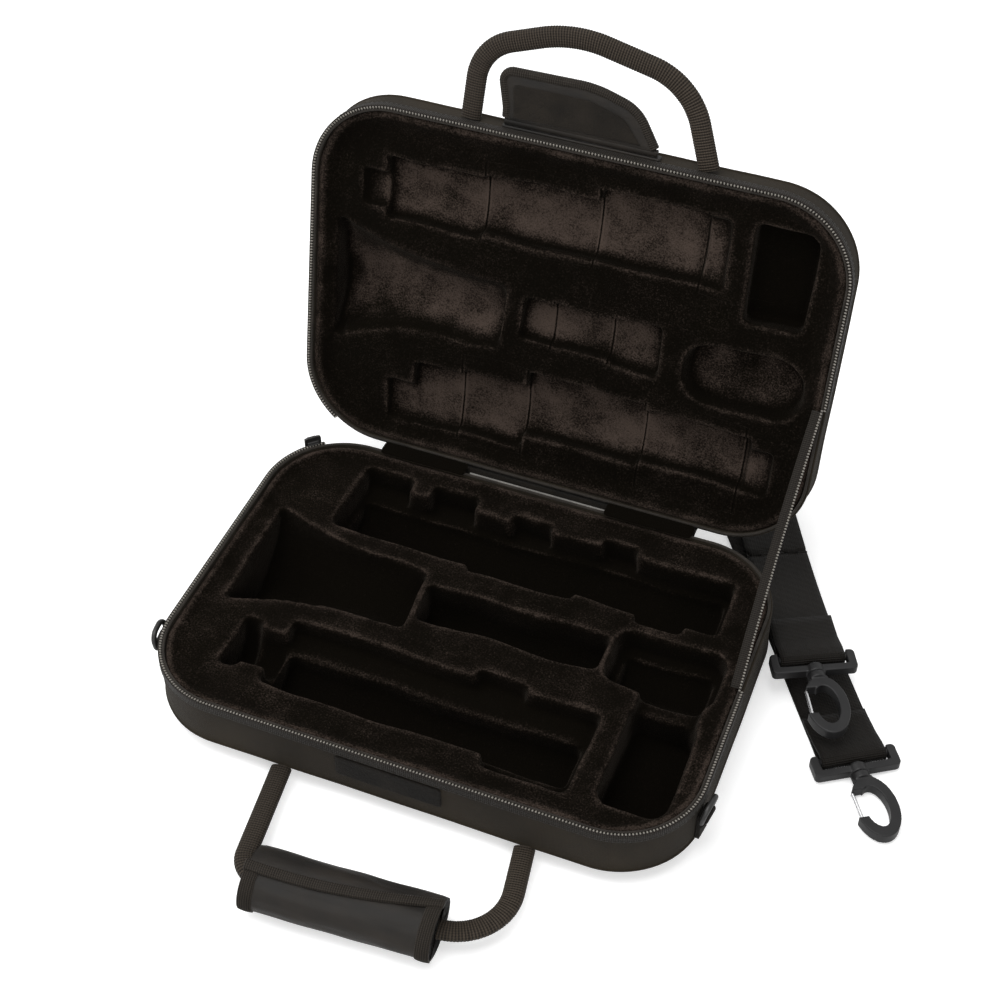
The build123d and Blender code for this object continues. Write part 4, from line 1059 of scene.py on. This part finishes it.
def side_of(turn):
    return Vector((-math.sin(turn), math.cos(turn), 0)) * strap_half


def rear_point(bar, turn, level):
    """Where the strap from a bar meets the middle of the run behind the case, and how far that is."""
    run = (rear_line - bar.y) / -math.sin(turn)
    return Vector((bar.x - run * math.cos(turn), rear_line, level)), run


strap = Ribbon()
radius = bar_hole + strap_thick / 2
half_turns = [math.pi / 2 - math.pi * i / 12 for i in range(13)]
round_bar = [(radius * math.cos(a), radius * math.sin(a)) for a in half_turns]
# the lower end: sewn-back tail, round the bar, and away from it along the floor
way, side = way_of(lower_turn), side_of(lower_turn)
floor_level = layers[0] - lower_bar.z
tail = [(-36.0, floor_level + 2.15), (-30.0, floor_level + 2.25), (-16.0, 0.2), (-5.5, radius - 0.9)]
away = [(-8.0, -radius + 0.02), (-20.0, -radius)]
strap.through(lower_bar, way, side, tail + round_bar + away)
strap.line = [Vector((p.x, p.y, layers[0])) for p in strap.line]
middle, _ = rear_point(lower_bar, lower_turn, layers[0])
cut = side + way * (strap_half / math.tan(-lower_turn / 2))
strap.reach((middle - cut, middle + cut), 40)
strap.fold()
# behind the case to its left end, and back on top
strap.reach([Vector((rear_end, p.y, layers[1])) for p in strap.line], 60)
strap.fold()
middle, run = rear_point(upper_bar, upper_turn, layers[2])
cut = way_of(upper_turn / 2)
strap.reach([middle + cut * ((p.y - rear_line) / cut.y) for p in strap.line], 56)
strap.fold()
# up to the upper bar, round it, and sewn back
way, side = way_of(upper_turn), side_of(upper_turn)
if (strap.line[1] - strap.line[0]).dot(side) < 0:
    side = -side
near = upper_bar - way * (run - 78.0)
near.z = layers[3]
strap.reach((near - side, near + side), 16)
under = upper_bar - way * 20.0 - Vector((0, 0, radius))
strap.reach((under - side, under + side), 30, 1.6)
tail = [(-5.5, radius - 0.7), (-16.0, -0.5), (-30.0, -1.3), (-36.0, -1.5)]
strap.through(upper_bar, way, side, [(-8.0, -radius)] + round_bar[::-1] + tail)
strap_length = strap.marks[0]

obj = strap.mesh("webbing_strap")
thick = obj.modifiers.new("thick", "SOLIDIFY")
thick.thickness = 1.7 * mm
thick.offset = 0.0
applied(obj)
finished(obj, strap_webbing, "strap", "webbing", "shoulder_strap")
strap_length * mm

for side in ("upper", "lower"):
    for name, part in (("buckle_", "frame"), ("snap_hook_", "hook")):
        node, body = f"strap_{part}_{side}", f"{side}_{part}"
        softened(name + side, node, 0.5, 3, black_plastic, body, "black_plastic")
    softened("hook_gate_" + side, "strap_gate_" + side, 0.22, 1, steel_wire, side + "_gate", "gate_wire")


# ---- Stage, light and camera ----

bpy.ops.mesh.primitive_plane_add(size=30.0, location=(0, 0, -0.0005))
floor = bpy.context.object
floor.name = "floor"
f = Finish("floor_white")
seen = f.node("ShaderNodeLightPath", output="Is Camera Ray")
diffuse = f.node("ShaderNodeBsdfDiffuse", None, {"Color": shade(0.86, 0.86, 0.86)})
glow = f.node("ShaderNodeEmission", None, {"Color": shade(1, 1, 1), "Strength": 0.42})
both = f.node("ShaderNodeAddShader", None, {0: diffuse, 1: glow})
f.end_with(f.node("ShaderNodeMixShader", None, {0: seen, 1: diffuse, 2: both}))
floor.data.materials.append(f.owner)

f = Finish("studio", bpy.data.worlds)
bpy.context.scene.world = f.owner
mirrored = f.node("ShaderNodeLightPath", output="Is Glossy Ray")
seen = f.node("ShaderNodeLightPath", output="Is Camera Ray").math("MAXIMUM", mirrored)
level = f.node("ShaderNodeMapRange", None, {"Value": seen, "To Min": 0.55, "To Max": 1.0})
sky = f.node("ShaderNodeBackground", None, {"Color": shade(1, 1, 1), "Strength": level})
f.end_with(sky, "ShaderNodeOutputWorld")


def soft_box(name, place, target, size, power):
    lamp = bpy.data.lights.new(name, "AREA")
    lamp.shape = "RECTANGLE"
    lamp.size, lamp.size_y = size
    lamp.energy = power
    obj = bpy.data.objects.new(name, lamp)
    obj.location = place
    obj.rotation_euler = (Vector(target) - Vector(place)).to_track_quat("-Z", "Y").to_euler()
    bpy.context.scene.collection.objects.link(obj)


soft_box("overhead", (-0.3, -0.2, 1.9), (0, 0.05, 0.05), (1.6, 1.2), 26.0)
soft_box("front_fill", (0.9, -1.7, 1.1), (0, 0, 0.1), (1.2, 1.0), 12.0)
soft_box("left_strip", (-1.6, -0.4, 0.9), (0, 0, 0.1), (0.5, 1.4), 10.0)

lens = bpy.data.cameras.new("camera")
lens.lens = 64.65
lens.sensor_width = 36.0
camera = bpy.data.objects.new("camera", lens)
camera.location = (0.29354, -0.69216, 0.92647)
camera.rotation_euler = (math.radians(44.39), 0, math.radians(21.5))
bpy.context.scene.collection.objects.link(camera)
bpy.context.scene.camera = camera
bpy.context.scene.view_settings.view_transform = "Standard"
